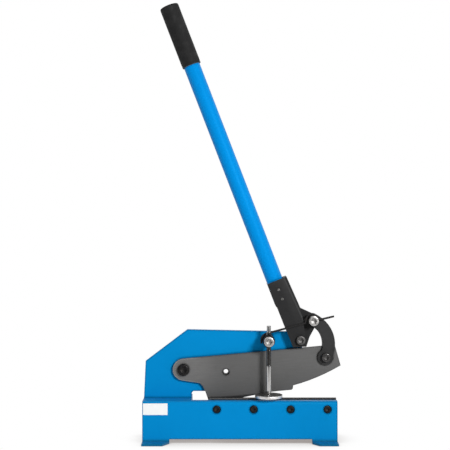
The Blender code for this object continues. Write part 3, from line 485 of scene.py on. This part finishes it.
def blue_enamel(name, pale, deep, specular):
    """Sprayed enamel: orange peel, painted shade on corners, in crevices and near the floor, dust and small chips
    """
    f = Finish(name, specular=specular)
    f.feed(f.shader.inputs["Specular Tint"], paint_sheen_tint)
    colour = f.mix(f.noise(enamel_cloud_size, detail=4.0), deep, pale)
    # Painted shade along the corners
    colour = f.over(colour, paint_blue_edge_shade, f.edge(enamel_edge_reach), share=0.80)
    # Painted shade in crevices and where parts meet
    colour = f.over(colour, paint_blue_crevice_shade, f.crevice(enamel_crevice_reach), share=0.55)
    dusty = f.band(f.noise(enamel_dust_size, detail=5.0), low=0.40, high=0.75, start=0.02, end=0.09)
    colour = f.over(colour, dust_colour, f.upward(), dusty)
    # Painted shade near the floor
    colour = f.mix(near_floor(f), colour, foot_shade)
    colour = f.mix(wall_shade(f), colour, paint_blue_crevice_shade)
    spots = f.band(f.noise(enamel_chip_size, detail=4.0, roughness=0.65), low=0.655, high=0.675)
    chips = f.sum('MULTIPLY', f.band(f.edge(enamel_chip_reach), low=0.35, high=0.60), spots)
    colour = f.mix(chips, colour, oxide_brown)
    peel = f.relief(f.noise(enamel_peel_size, detail=2.0, roughness=0.45), enamel_peel_depth)
    waves = f.relief(f.noise(enamel_wave_size, detail=2.0), enamel_wave_depth, peel)
    return f.done(colour, enamel_roughness(f), f.relief(chips, -enamel_chip_depth, waves))


def near_floor(f):
    """The share of painted shade on the feet, from their top down to the floor"""
    return f.band(f.part(f.point, 2), low=foot_shade_top, high=foot_shade_full, end=0.32)


def wall_shade(f):
    """The share of shade on the base plates' walls, more to the right, none above their tops"""
    rightward = f.band(f.part(f.point, 0), low=wall_shade_left, high=wall_shade_right,
                       end=wall_shade_share)
    below = f.band(f.part(f.point, 2), low=wall_shade_top, high=wall_shade_top - wall_shade_fade)
    return f.sum('MULTIPLY', rightward, below)


def enamel_roughness(f):
    """Enamel's roughness: soft patches, and upright scuffs in some places"""
    scuffs = f.noise(enamel_scuff_size, detail=3.0, roughness=0.6, stretch=enamel_scuff_stretch)
    places = f.band(f.noise(enamel_scuffed_size, detail=2.0), low=0.50, high=0.66)
    scuffed = f.sum('MULTIPLY', f.band(scuffs, low=0.66, high=0.78), places)
    patches = f.band(f.noise(enamel_gloss_size, detail=4.0), low=0.3, high=0.7, start=0.36, end=0.44)
    return f.sum('ADD', patches, f.sum('MULTIPLY', scuffed, enamel_scuff_roughness))


def black_enamel(name, deep, pale):
    """Satin black powder coat: fine grain, paler at the corners, rubbed in places"""
    f = Finish(name, specular=0.20)
    colour = f.mix(f.noise(black_cloud_size, detail=5.0), deep, pale)
    edge = f.edge(black_edge_reach)
    colour = f.over(colour, satin_black_edge, edge, share=0.40)
    spots = f.band(f.noise(black_chip_size, detail=4.0, roughness=0.65), low=0.650, high=0.670)
    chips = f.sum('MULTIPLY', f.band(edge, low=0.3, high=0.6), spots)
    colour = f.mix(chips, colour, oxide_chipped)
    rubbed = f.band(f.noise(black_rubbed_size, detail=4.0), low=0.52, high=0.70)
    roughness = f.band(rubbed, low=0.0, high=1.0, start=0.46, end=0.34)
    grain = f.relief(f.noise(black_grain_size), black_grain_depth)
    waves = f.relief(f.noise(black_wave_size, detail=2.0), black_wave_depth, grain)
    return f.done(colour, roughness, f.relief(chips, -black_chip_depth, waves))


def grip_rubber():
    """Moulded rubber sleeve: pebbled, matt, with paler rubbed patches and a painted highlight on its lower end"""
    f = Finish("grip_rubber", specular=0.16)
    rubbed = f.band(f.noise(rubber_rubbed_size, detail=5.0, roughness=0.6), low=0.40, high=0.70)
    colour = f.mix(rubbed, rubber_black, rubber_black_pale)
    specks = f.band(f.noise(rubber_speck_size, detail=2.0), low=0.62, high=0.70)
    colour = f.over(colour, rubber_speck, specks, share=0.25)
    along = f.part(f.local(tuple(lever_pivot), -handle_lean), 2)
    bottom = grip_top - grip_length
    # Painted highlight on the lower end
    lit_end = f.band(along, low=bottom + rubber_end_highlight_top, high=bottom + rubber_end_highlight_full)
    colour = f.over(colour, rubber_end_highlight, lit_end, share=0.8)
    roughness = f.band(rubbed, low=0.0, high=1.0, start=0.72, end=0.60)
    pebbles = f.relief(f.cells(rubber_pebble_size), -rubber_pebble_depth)
    return f.done(colour, roughness, f.relief(f.noise(rubber_wave_size), rubber_wave_depth, pebbles))


def black_oxide(name, worn, sheen=0.30, metallic=0.85):
    """Oiled black oxide on steel: near black, a brown cast in places, a share of it worn to grey"""
    f = Finish(name, metallic=metallic, specular=0.35)
    f.feed(f.shader.inputs["Specular Tint"], oxide_sheen_tint)
    cast = f.band(f.noise(oxide_cast_size, detail=4.0), low=0.45, high=0.75)
    colour = f.mix(cast, oxide_black, oxide_brown)
    rubbed = f.band(f.noise(oxide_worn_size, detail=4.0), low=0.30, high=0.70,
                    start=worn * oxide_least_worn_share, end=worn)
    colour = f.mix(rubbed, colour, oxide_worn)
    colour = f.over(colour, oxide_chipped, f.edge(oxide_edge_reach), share=0.25)
    roughness = f.band(f.noise(oxide_gloss_size, detail=4.0), low=0.3, high=0.7,
                       start=sheen, end=sheen + gloss_spread)
    return f.done(colour, roughness, f.relief(f.noise(oxide_grain_size), oxide_grain_depth))


def bright_zinc(name, pale, dull, sheen=0.24, top_shade=0.0, crevice_reach=zinc_crevice_reach,
                threaded=False):
    """Zinc plate over turned steel: pale, a little cloudy, painted shade in the corners, fine tool marks"""
    f = Finish(name, metallic=1.0)
    colour = f.mix(f.band(f.noise(zinc_cloud_size, detail=5.0), low=0.42, high=0.72), pale, dull)
    pits = f.band(f.noise(zinc_pit_size), low=0.66, high=0.74)
    colour = f.over(colour, zinc_grimy, pits, share=0.35)
    # Painted shade in the corners
    colour = f.over(colour, zinc_shade_and_grime, f.crevice(crevice_reach), share=0.75)
    # Painted shade on faces that look up
    if top_shade > 0.0:
        colour = f.over(colour, zinc_shade_and_grime, f.upward(), share=top_shade)
    # Painted shade in the thread's grooves, with oil and dirt
    if threaded:
        colour = f.over(colour, zinc_shade_and_grime, rod_thread(f), share=0.60)
    roughness = f.band(f.noise(zinc_gloss_size, detail=4.0), low=0.3, high=0.7,
                       start=sheen, end=sheen + gloss_spread)
    marks = f.noise(zinc_mark_size, detail=2.0, roughness=0.5, stretch=zinc_mark_stretch)
    return f.done(colour, roughness, f.relief(marks, zinc_mark_depth))


def rod_thread(f):
    """1 on the rod's thread, where oil and dirt stay and the grooves' shade is painted, 0 on its tip and its
    smooth end
    """
    low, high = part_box("hold_down_rod")
    height = f.part(f.point, 2)
    bottom = low.z + rod_smooth_length
    top = high.z - rod_tip_length
    above = f.band(height, low=bottom - rod_oil_and_shade_fade, high=bottom + rod_oil_and_shade_fade)
    below = f.band(height, low=top + rod_oil_and_shade_fade, high=top - rod_oil_and_shade_fade)
    return f.sum('MULTIPLY', above, below)


def ground_steel(name, pivot, tilt, band_low, band_high, dark_share):
    """Dark ground tool steel: fine lines along the blade, a ground band along the edge with its dark reflection
    painted, light stains
    """
    f = Finish(name, metallic=0.60)
    at = f.local(pivot, tilt)
    lines = f.noise(steel_line_size, roughness=0.6, stretch=steel_line_stretch, point=at)
    streaks = f.noise(steel_streak_size, roughness=0.5, stretch=steel_streak_stretch, point=at)
    colour = f.mix(f.band(lines, low=0.35, high=0.65), steel_grey, steel_grey_pale)
    colour = f.mix(f.band(streaks, low=0.35, high=0.75, end=0.12), colour, steel_streak)
    stains = f.noise(steel_stain_size, detail=5.0, roughness=0.6, point=at)
    colour = f.mix(f.band(stains, low=0.52, high=0.74, end=0.20), colour, steel_stain)
    # Painted dark reflection of the ground band along the edge
    along_edge = f.band(f.part(at, 2), low=band_high, high=band_low, end=0.85)
    colour = blade_shades(f, at, colour, along_edge, band_high)
    colour = f.mix(dark_share, colour, steel_dark)
    # Edges: a painted highlight on the round end, darker further along
    rightward = f.band(f.part(at, 0), low=lit_corner_end, high=dark_corner_start)
    corner = f.mix(rightward, steel_bare_and_highlight, steel_corner)
    colour = f.over(colour, corner, f.edge(steel_edge_reach), share=0.6)
    # Painted shade in crevices
    colour = f.over(colour, steel_crevice_shade, f.crevice(steel_crevice_reach), share=0.75)
    scratches = steel_scratches(f, f.local(pivot, tilt + steel_scratch_turn))
    colour = f.over(colour, steel_bare_and_highlight, scratches, share=0.25)
    roughness = f.sum('ADD', f.band(streaks, low=0.3, high=0.7, start=0.46, end=0.54),
                      f.band(along_edge, low=0.0, high=1.0, end=-0.06))
    ground = f.relief(lines, steel_line_depth)
    return f.done(colour, roughness, f.relief(scratches, -steel_scratch_depth, ground))


def steel_scratches(f, turned):
    """A few fine scratches across the blade's lines"""
    scratches = f.noise(steel_scratch_size, detail=2.0, roughness=0.5, stretch=steel_scratch_stretch,
                        point=turned)
    return f.band(scratches, low=0.72, high=0.76)


def blade_shades(f, at, colour, along_edge, band_high):
    """Painted shade on the blade, darker to the right and downward, and the ground band's painted dark reflection
    at its edge
    """
    # Painted shade to the right and downward
    rightward = f.band(f.part(at, 0), shade_left, shade_right, shade_left_share, shade_right_share)
    colour = f.mix(rightward, colour, steel_shade)
    downward = f.band(f.part(at, 2), low=shade_high, high=band_high, end=0.55)
    colour = f.mix(downward, colour, steel_low)
    return f.mix(along_edge, colour, steel_edge_reflection)


def label_vinyl():
    """A blank vinyl label: white, with thumb marks and tired corners"""
    f = Finish("label_vinyl", specular=0.45)
    worn = f.band(f.noise(vinyl_worn_size, detail=5.0), low=0.50, high=0.75, end=0.35)
    colour = f.mix(worn, label_white, label_worn)
    colour = f.over(colour, label_edge, f.edge(vinyl_edge_reach), share=0.5)
    roughness = f.band(worn, low=0.0, high=0.35, start=0.38, end=0.52)
    fibres = f.relief(f.noise(vinyl_fibre_size), vinyl_fibre_depth)
    waves = f.relief(f.noise(vinyl_wave_size, detail=2.0), vinyl_wave_depth, fibres)
    return f.done(colour, roughness, waves)


finishes = {
    "blue_paint": blue_enamel("blue_enamel", paint_blue, paint_blue_deep, specular=0.28),
    "blue_tube": blue_enamel("blue_enamel_tube", tube_blue, tube_blue_deep, specular=0.15),
    "black_paint": black_enamel("black_enamel", satin_black, satin_black_pale),
    "link_paint": black_enamel("link_enamel", link_black, link_black_pale),
    "black_rubber": grip_rubber(),
    "black_oxide": black_oxide("black_oxide_steel", worn=0.05),
    "worn_oxide": black_oxide("worn_oxide_steel", worn=0.52),
    "rubbed_oxide": black_oxide("rubbed_oxide_steel", worn=0.40, sheen=0.18),
    "wire_oxide": black_oxide("black_spring_wire", worn=0.03, sheen=0.40, metallic=0.20),
    "zinc": bright_zinc("bright_zinc", zinc_pale, zinc_dull),
    # The pad's top takes painted shade
    "pad_zinc": bright_zinc("pad_zinc", zinc_pad, zinc_pale, sheen=0.36, top_shade=0.85),
    "threaded_zinc": bright_zinc("threaded_zinc", zinc_bright, zinc_dull, sheen=0.10,
                                 crevice_reach=rod_crevice_reach, threaded=True),
    "grimy_zinc": bright_zinc("grimy_zinc", zinc_grimy, zinc_shade_and_grime, sheen=0.34),
    "ground_steel": ground_steel("ground_steel_blade", tuple(blade_pivot), -blade_tilt, edge_band_low,
                                 edge_band_high, dark_share=0.0),
    "dark_steel": ground_steel("dark_tool_steel", (0.0, 0.0, 0.0), 0.0, no_band_low, no_band_high,
                               dark_share=0.90),
    "white_label": label_vinyl(),
}

own_finishes = {
    "handle_tube": "blue_tube",
    "lever_pivot_bolt": "worn_oxide",
    "latch_wire": "wire_oxide",
    "link_blade_bolt": "rubbed_oxide",
    "link_front": "link_paint",
    "link_rear": "link_paint",
    "hold_down_rod": "threaded_zinc",
    "hold_down_pad": "pad_zinc",
    "handle_set_screw_1": "grimy_zinc",
    "handle_set_screw_2": "grimy_zinc",
}


def slot_of(node):
    """The record's material slot of a CAD node"""
    return frame["nodes"][node].data.materials[0].name


def add_piece(name, mesh, node, corner):
    """Add a mesh to the scene with its node's finish, smooth rounds and rounded corners"""
    mesh.materials.clear()
    mesh.materials.append(finishes[own_finishes.get(node, slot_of(node))])
    mesh.shade_smooth()
    mesh.set_sharp_from_angle(angle=corner_angle)
    piece = bpy.data.objects.new(name, mesh)
    bpy.context.scene.collection.objects.link(piece)
    if corner > 0.0:
        bevel = piece.modifiers.new("corners", 'BEVEL')
        bevel.width = corner
        bevel.segments = corner_segments
        bevel.limit_method = 'ANGLE'
        bevel.angle_limit = corner_angle
        bevel.harden_normals = True
    return piece


def stand_for(piece, node):
    """Let a piece stand for a CAD node: same body, the node hidden"""
    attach(piece, body_of[node])
    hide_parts(node)
    return piece


def whole_mesh(node):
    """The CAD node's mesh with its split corners joined and its flat faces made whole"""
    work = bmesh.new()
    work.from_mesh(frame["nodes"][node].data)
    bmesh.ops.remove_doubles(work, verts=work.verts, dist=weld_distance)
    bmesh.ops.dissolve_limit(work, angle_limit=flat_angle, verts=work.verts, edges=work.edges)
    mesh = bpy.data.meshes.new(node + "_finished")
    work.to_mesh(mesh)
    work.free()
    split_normals = mesh.attributes.get("custom_normal")
    if split_normals is not None:
        mesh.attributes.remove(split_normals)
    return mesh


def dress(node, corner):
    """A CAD node's own shape with rounded corners and its finish"""
    return stand_for(add_piece(node + "_finished", whole_mesh(node), node, corner), node)


def facing_front(low, high):
    """The matrix that lays a Z-turned shape along Y in a box, its top facing the front"""
    front = Matrix.Translation(((low.x + high.x) / 2, low.y, (low.z + high.z) / 2))
    return front @ Matrix.Rotation(math.pi / 2, 4, 'X')


def standing(low, high):
    """The matrix that stands a Z-turned shape in a box, its top at the box's top"""
    return Matrix.Translation(((low.x + high.x) / 2, (low.y + high.y) / 2, high.z))


def circle(radius):
    """The radius of a round ring at any angle"""
    return lambda angle, index: radius


def hexagon(circumradius, limit=math.inf):
    """The radius of a hexagonal ring, held within a round limit"""
    def at(angle, index):
        turned = angle % (math.pi / 3) - math.pi / 6
        return min(circumradius * math.cos(math.pi / 6) / math.cos(turned), limit)
    return at


def knurl(radius, depth):
    """The radius of a ring of straight knurls, two points to a knurl"""
    return lambda angle, index: radius - depth * (index % 2)


def seam(radius, height):
    """The radius of a moulded ring with a fine parting line on two sides"""
    return lambda angle, index: radius + height * (index % (turned_steps // 2) == 0)


def thread_ring(height, radius, depth, pitch):
    """The radius of a thread at one height: a flat-topped V that turns with the angle"""
    def at(angle, index):
        phase = (height / pitch + angle / (2 * math.pi)) % 1.0
        groove = min(1.0, max(0.0, thread_land_share - abs(phase - 0.5) * thread_flank_share))
        return radius - depth * groove
    return at


def thread_rows(top, bottom, radius, pitch):
    """Rows of a screw thread from its top height down, fading out at both ends"""
    depth = thread_depth_share * pitch
    rows = []
    count = round((top - bottom) / pitch * rows_per_pitch)
    for row in range(count + 1):
        height = top + (bottom - top) * row / count
        fade = min(1.0, row / rows_per_pitch, (count - row) / rows_per_pitch)
        rows.append((height, thread_ring(height, radius, depth * fade, pitch)))
    return rows


def rounded_rows(radius, height, edge, side):
    """Rows round a corner: from the top face to the side (side 1), or from the side to the bottom (-1)"""
    rows = []
    for step in range(corner_steps + 1):
        angle = math.pi / 2 * step / corner_steps
        inset = edge * (1 - math.sin(angle))
        drop = edge * (1 - math.cos(angle))
        rows.append((height - side * drop, circle(radius - inset)))
    return rows[::side]


def socket_rows(socket, depth):
    """Rows of a hexagon socket from its drilled floor up to its chamfered rim"""
    return [
        (-depth - socket * socket_cone_share, circle(socket * socket_point_share)),
        (-depth, hexagon(socket)),
        (-socket * socket_chamfer_share, hexagon(socket)),
        (0.0, hexagon(socket * socket_rim_share, socket * socket_round_share)),
    ]


def turned_mesh(name, rows, matrix, steps=turned_steps, ring=False):
    """A closed mesh through rows of (height, ring), capped at both ends or joined into a ring"""
    work = bmesh.new()
    loops = []
    for height, radius_at in rows:
        loop = []
        for index in range(steps):
            angle = 2 * math.pi * index / steps
            radius = radius_at(angle, index)
            loop.append(work.verts.new((radius * math.cos(angle), radius * math.sin(angle), height)))
        loops.append(loop)
    pairs = list(zip(loops, loops[1:]))
    if ring:
        pairs.append((loops[-1], loops[0]))
    for upper, lower in pairs:
        for index in range(steps):
            following = (index + 1) % steps
            work.faces.new((upper[index], lower[index], lower[following], upper[following]))
    if not ring:
        work.faces.new(loops[0])
        work.faces.new(list(reversed(loops[-1])))
    bmesh.ops.recalc_face_normals(work, faces=work.faces)
    work.transform(matrix)
    mesh = bpy.data.meshes.new(name)
    work.to_mesh(mesh)
    work.free()
    return mesh


def turned_piece(node, rows, matrix, steps=turned_steps, ring=False):
    """A turned piece that stands for a CAD node"""
    mesh = turned_mesh(node + "_finished", rows, matrix, steps, ring)
    return stand_for(add_piece(node + "_finished", mesh, node, 0.0), node)


def cap_screw(node, radius, head_height, pitch, thread_length):
    """A socket cap screw: rounded knurled head, chamfered hexagon socket, thread at its end"""
    low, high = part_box(node)
    head_radius = (high.x - low.x) / 2
    total = high.y - low.y
    edge = head_radius * cap_edge_share
    lead = min(cap_lead_limit, radius * cap_lead_share)
    rows = socket_rows(head_radius * cap_socket_share, cap_socket_depth)
    rows += rounded_rows(head_radius - knurl_depth, 0.0, edge, 1)
    rows += [
        (-edge * knurl_start_share, knurl(head_radius, knurl_depth)),
        (-head_height + edge * knurl_end_share, knurl(head_radius, knurl_depth)),
        (-head_height + edge * cap_foot_share, circle(head_radius - knurl_depth)),
        (-head_height, circle(head_radius - edge * cap_foot_share)),
        (-head_height, circle(radius)),
    ]
    rows += thread_rows(-total + thread_length, -total + lead, radius, pitch)
    rows.append((-total, circle(radius - lead)))
    return turned_piece(node, rows, facing_front(low, high))


def set_screw(node):
    """A headless screw with a hexagon socket, threaded down to its point"""
    low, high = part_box(node)
    radius = (high.x - low.x) / 2
    total = high.y - low.y
    lead = radius * set_lead_share
    rows = socket_rows(radius * set_socket_share, set_socket_depth)
    rows += rounded_rows(radius, 0.0, lead, 1)
    rows += thread_rows(-lead * set_thread_start_share, -total + lead, radius, set_pitch)
    rows.append((-total, circle(radius - lead)))
    return turned_piece(node, rows, facing_front(low, high))


def hexagon_nut(node, bore):
    """A hexagon nut with chamfered corners and a countersunk bore"""
    low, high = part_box(node)
    wide = high.x - low.x
    tall = high.z - low.z
    thick = high.y - low.y
    circumradius = max(wide, tall) / 2
    flat = circumradius * math.cos(math.pi / 6)
    slope = circumradius * nut_slope_share
    front = [
        (-nut_sink, circle(bore)),
        (0.0, circle(bore + nut_sink)),
        (0.0, circle(flat * nut_face_share)),
        (-slope * 0.5, hexagon(circumradius, flat * nut_middle_share)),
        (-slope, hexagon(circumradius, flat * nut_rim_share)),
        (-slope * nut_corner_share, hexagon(circumradius)),
    ]
    back = [(-thick - height, radius_at) for height, radius_at in reversed(front)]
    matrix = facing_front(low, high)
    if tall > wide:
        matrix = matrix @ Matrix.Rotation(math.pi / 6, 4, 'Z')
    return turned_piece(node, front + back, matrix, ring=True)


def hold_down_rod(node):
    """The hold-down rod: a turned tip, a screw thread and a smooth lower end"""
    low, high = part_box(node)
    total = high.z - low.z
    shoulder = rod_smooth_length - total
    rows = rounded_rows(rod_tip_radius, 0.0, rod_tip_edge, 1)
    rows.append((-rod_tip_length, circle(rod_tip_radius)))
    rows += thread_rows(-rod_tip_length - rod_thread_start, shoulder, rod_radius, rod_pitch)
    rows.append((shoulder - rod_shoulder, circle(rod_smooth_radius)))
    rows += rounded_rows(rod_smooth_radius, -total, rod_end_edge, -1)
    return turned_piece(node, rows, standing(low, high), rod_steps)


def hold_down_pad(node):
    """The round pad: rounded rims and a socket for the rod"""
    low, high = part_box(node)
    radius = (high.x - low.x) / 2
    bore = rod_smooth_radius + slip_clearance
    rows = [
        (-pad_socket_depth, circle(bore)),
        (-pad_socket_rim, circle(bore)),
        (0.0, circle(bore + pad_socket_rim)),
    ]
    rows += rounded_rows(radius, 0.0, pad_edge, 1)
    rows += rounded_rows(radius, low.z - high.z, pad_edge, -1)
    return turned_piece(node, rows, standing(low, high))


def lever_frame():
    """The matrix of the handle's middle line: Z runs along the handle from the lever pivot"""
    lever = Matrix.Translation(lever_pivot) @ Matrix.Rotation(-handle_lean, 4, 'Y')
    return lever @ Matrix.Translation((handle_across, handle_depth, 0.0))


def handle_tube(node):
    """The handle tube with its bore and broken edges"""
    bore = tube_radius - tube_wall
    rows = rounded_rows(tube_radius, handle_top, tube_edge, 1)
    rows += rounded_rows(tube_radius, handle_bottom, tube_edge, -1)
    rows += [(handle_bottom, circle(bore)), (handle_top, circle(bore))]
    return turned_piece(node, rows, lever_frame(), ring=True)


def handle_grip(node):
    """The rubber grip: rounded end with a vent, a parting line, and a lip at its lower end"""
    bottom = grip_top - grip_length
    inner = tube_radius + slip_clearance
    rows = [
        (grip_top - grip_vent_depth, circle(grip_vent_radius)),
        (grip_top - grip_vent_rim, circle(grip_vent_radius)),
        (grip_top, circle(grip_vent_radius + grip_vent_rim)),
    ]
    rows += rounded_rows(grip_radius, grip_top, grip_edge, 1)
    rows += [
        (grip_top - grip_edge - grip_seam_gap, seam(grip_radius, grip_seam)),
        (bottom + grip_lip_length + grip_seam_rise, seam(grip_radius, grip_seam)),
        (bottom + grip_lip_length, circle(grip_radius - grip_lip_groove)),
        (bottom + grip_lip_length - grip_lip_slope, circle(grip_radius)),
    ]
    rows += rounded_rows(grip_radius, bottom, grip_lip_edge, -1)
    rows += [
        (bottom, circle(inner)),
        (handle_top + grip_end_gap, circle(inner)),
        (handle_top + grip_end_gap, circle(grip_end_radius)),
    ]
    return turned_piece(node, rows, lever_frame())


def latch_wire(node):
    """The latch wire, smoothed round and along, its two ends kept square"""
    piece = dress(node, 0.0)
    mesh = piece.data
    mesh.attributes.remove(mesh.attributes["sharp_edge"])
    ends = {key for face in mesh.polygons if len(face.vertices) > 4 for key in face.edge_keys}
    crease = mesh.attributes.new("crease_edge", 'FLOAT', 'EDGE')
    for edge in mesh.edges:
        crease.data[edge.index].value = float(edge.key in ends)
    smooth = piece.modifiers.new("round", 'SUBSURF')
    smooth.levels = wire_smoothing
    smooth.render_levels = wire_smoothing
    grown = piece.modifiers.new("full_thickness", 'DISPLACE')
    grown.strength = wire_growth
    grown.mid_level = 0.0
    return piece


def bead_rows(length):
    """Rows of a weld bead: ripples along it, a slow wander in its width, tapered at both ends"""
    count = round(length / bead_station)
    first_rate, second_rate = bead_wander_rates
    rows = []
    for row in range(count + 1):
        distance = length * row / count
        ripple = abs(math.sin(math.pi * distance / bead_ripple))
        wander = math.sin(distance * first_rate) + math.sin(distance * second_rate + bead_wander_phase)
        taper = min(1.0, bead_end_share + (1 - bead_end_share) * min(row, count - row) / bead_taper_rows)
        width = bead_low_share + bead_ripple_share * ripple + bead_wander_share * wander
        rows.append((-distance, circle(bead_radius * taper * width)))
    return rows


def weld_bead(name, host, start, end):
    """A weld bead along a corner between two plates, on the body of its host"""
    along = Vector(end) - Vector(start)
    turn = along.to_track_quat('-Z', 'Y').to_matrix().to_4x4()
    matrix = Matrix.Translation(start) @ turn
    bead = add_piece(name, turned_mesh(name, bead_rows(along.length), matrix, bead_sides), host, 0.0)
    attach(bead, body_of[host])


def weld_ribs():
    """Beads down both edges of the two end ribs"""
    for rib in ("front_end_rib", "rear_end_rib"):
        low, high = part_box(rib)
        top = high.z - rib_weld_from_top
        bottom = low.z + rib_weld_from_bottom
        for side, y in (("inner", low.y), ("outer", high.y)):
            weld_bead("%s_%s_weld" % (rib, side), rib, (high.x, y, top), (high.x, y, bottom))


def floor_finish():
    """White to the camera with a painted shadow close to the shear, dimmer to the front in gloss, grey in the
    light
    """
    f = Finish("studio_floor", specular=0.0)
    path = f.add("ShaderNodeLightPath")
    glossy = path.outputs["Is Glossy Ray"]
    seen = f.sum('MAXIMUM', path.outputs["Is Camera Ray"], path.outputs["Is Transmission Ray"])
    seen = f.sum('MAXIMUM', seen, glossy)
    fading = f.band(f.part(f.point, 1), low=sweep_front, high=sweep_back, start=front_gloss)
    clear = f.add("ShaderNodeAmbientOcclusion", [("Distance", shadow_reach)], samples=shadow_samples)
    shown = f.mix(f.band(clear.outputs["AO"], low=0.0, high=open_full), shadow_colour, white)
    glow = f.add("ShaderNodeEmission", [("Color", shown), ("Strength", f.between(glossy, 1.0, fading))])
    speckle = f.band(f.noise(floor_speckle_size), low=0.3, high=0.7, start=floor_grey - floor_speckle,
                     end=floor_grey + floor_speckle)
    grey = f.add("ShaderNodeCombineColor", [(0, speckle), (1, speckle), (2, speckle)]).outputs[0]
    f.feed(f.shader.inputs["Base Color"], grey)
    f.feed(f.shader.inputs["Roughness"], 1.0)
    blend = f.add("ShaderNodeMixShader", [(0, seen), (1, f.shader.outputs[0]), (2, glow.outputs[0])])
    f.feed(f.tree.nodes["Material Output"].inputs["Surface"], blend.outputs[0])
    return f.material


def build_floor():
    """The round studio floor, just under the feet"""
    work = bmesh.new()
    bmesh.ops.create_circle(work, cap_ends=True, segments=turned_steps, radius=floor_radius)
    mesh = bpy.data.meshes.new("floor")
    work.to_mesh(mesh)
    work.free()
    mesh.materials.append(floor_finish())
    floor = bpy.data.objects.new("floor", mesh)
    floor.location = (0.0, 0.0, -floor_drop)
    bpy.context.scene.collection.objects.link(floor)


def world_gloss(n, direction):
    """What gloss mirrors: a white back, a dark front, dimmer to the lower left, and a soft box"""
    to_box = (key_place - light_aim).normalized()
    box = n.band(n.facing(direction, to_box), low=box_outer, high=box_inner, end=box_gloss)
    sides = n.band(n.facing(direction, near_direction), low=-0.9, high=0.5, start=far_gloss_share)
    depth = n.band(n.part(direction, 1), low=-1.0, high=0.1, start=front_gloss, end=back_gloss)
    return n.sum('ADD', n.sum('MULTIPLY', depth, sides), box)


def world_ambient(n, direction):
    """The soft light: weaker from the front, stronger from the back and the left, less from the top"""
    depth = n.band(n.part(direction, 1), low=-1.0, high=0.6, start=front_ambient, end=back_ambient)
    left = n.band(n.part(direction, 0), low=-0.3, high=-0.9, end=left_ambient)
    top = n.band(n.part(direction, 2), low=0.1, high=0.9, start=1.0, end=top_ambient_share)
    return n.sum('MULTIPLY', n.sum('ADD', depth, left), top)


def build_world():
    """White for the camera, its own picture for gloss, a soft light for all else"""
    world = bpy.data.worlds.new("studio")
    bpy.context.scene.world = world
    world.use_nodes = True
    n = Nodes(world.node_tree)
    direction = n.add("ShaderNodeTexCoord").outputs["Generated"]
    path = n.add("ShaderNodeLightPath")
    ambient = world_ambient(n, direction)
    gloss = world_gloss(n, direction)
    level = n.between(path.outputs["Is Glossy Ray"], ambient, gloss)
    seen = n.sum('MAXIMUM', path.outputs["Is Camera Ray"], path.outputs["Is Transmission Ray"])
    background = n.tree.nodes["Background"]
    n.feed(background.inputs["Color"], white)
    n.feed(background.inputs["Strength"], n.between(seen, level, 1.0))


def build_camera():
    """The camera where the photographer's stood"""
    lens = bpy.data.cameras.new("photo_camera")
    lens.sensor_width = sensor_width
    lens.lens = camera_lens
    camera = bpy.data.objects.new("photo_camera", lens)
    camera.location = camera_place
    camera.rotation_euler = (math.pi / 2, 0.0, 0.0)
    bpy.context.scene.collection.objects.link(camera)
    bpy.context.scene.camera = camera


def build_key_light():
    """A square lamp that looks at the shear from the upper right"""
    lamp = bpy.data.lights.new("key_light", 'AREA')
    lamp.shape = 'SQUARE'
    lamp.size = key_size
    lamp.energy = key_power
    holder = bpy.data.objects.new("key_light", lamp)
    bpy.context.scene.collection.objects.link(holder)
    holder.location = key_place
    holder.rotation_euler = (light_aim - key_place).to_track_quat('-Z', 'Y').to_euler()


# Nodes that keep their CAD shape, with the radius of their rounded corners
plain_nodes = {
    "base_front_plate": 0.0007,
    "base_rear_plate": 0.0007,
    "frame_plate": 0.0008,
    "front_end_rib": 0.0006,
    "rear_end_rib": 0.0006,
    "blade_carrier_bar": 0.0006,
    "lower_blade": 0.0003,
    "upper_blade": 0.0007,
    "bar_die_bush": 0.0005,
    "blank_label": 0.0001,
    "lever_bracket": 0.0008,
    "lever_plate": 0.0008,
    "link_front": 0.0008,
    "link_rear": 0.0008,
    "hold_down_stud": 0.0004,
    "blade_pivot_washer": 0.0003,
    "lever_pivot_spacer": 0.0003,
    "lever_pivot_washer": 0.0003,
    "link_pivot_spacer": 0.0003,
}

# Cap screws, with the shank's radius, the head's height, the thread's pitch and its length
cap_screws = {
    "blade_pivot_bolt": (0.0080, 0.010, 0.0020, 0.016),
    "lever_pivot_bolt": (0.0070, 0.010, 0.0020, 0.016),
    "link_pivot_bolt": (0.0080, 0.011, 0.0020, 0.016),
    "link_blade_bolt": (0.0065, 0.011, 0.00175, 0.016),
    "hold_down_clamp_bolt": (0.0080, 0.012, 0.0015, 0.006),
    "lower_blade_bolt_1": (0.0060, 0.012, 0.0015, 0.010),
    "lower_blade_bolt_2": (0.0060, 0.012, 0.0015, 0.010),
    "lower_blade_bolt_3": (0.0060, 0.012, 0.0015, 0.010),
    "lower_blade_bolt_4": (0.0060, 0.012, 0.0015, 0.010),
}

# Nuts, with the radius of their bore
nut_bores = {
    "blade_pivot_nut": 0.00815,
    "lever_pivot_nut": 0.00715,
    "link_pivot_nut": 0.00815,
    "link_blade_nut": 0.00665,
    "hold_down_stud_nut": 0.00815,
}

for node, corner in plain_nodes.items():
    dress(node, corner)
for node, sizes in cap_screws.items():
    cap_screw(node, *sizes)
set_screw("handle_set_screw_1")
set_screw("handle_set_screw_2")
hold_down_rod("hold_down_rod")
hold_down_pad("hold_down_pad")
handle_tube("handle_tube")
handle_grip("handle_grip")
latch_wire("latch_wire")
for node, bore in nut_bores.items():
    hexagon_nut(node, bore)
weld_bead("rear_web_weld", "frame_plate", web_weld_start, web_weld_end)
weld_ribs()

build_floor()
build_world()
build_camera()
build_key_light()
bpy.context.scene.view_settings.view_transform = 'Standard'
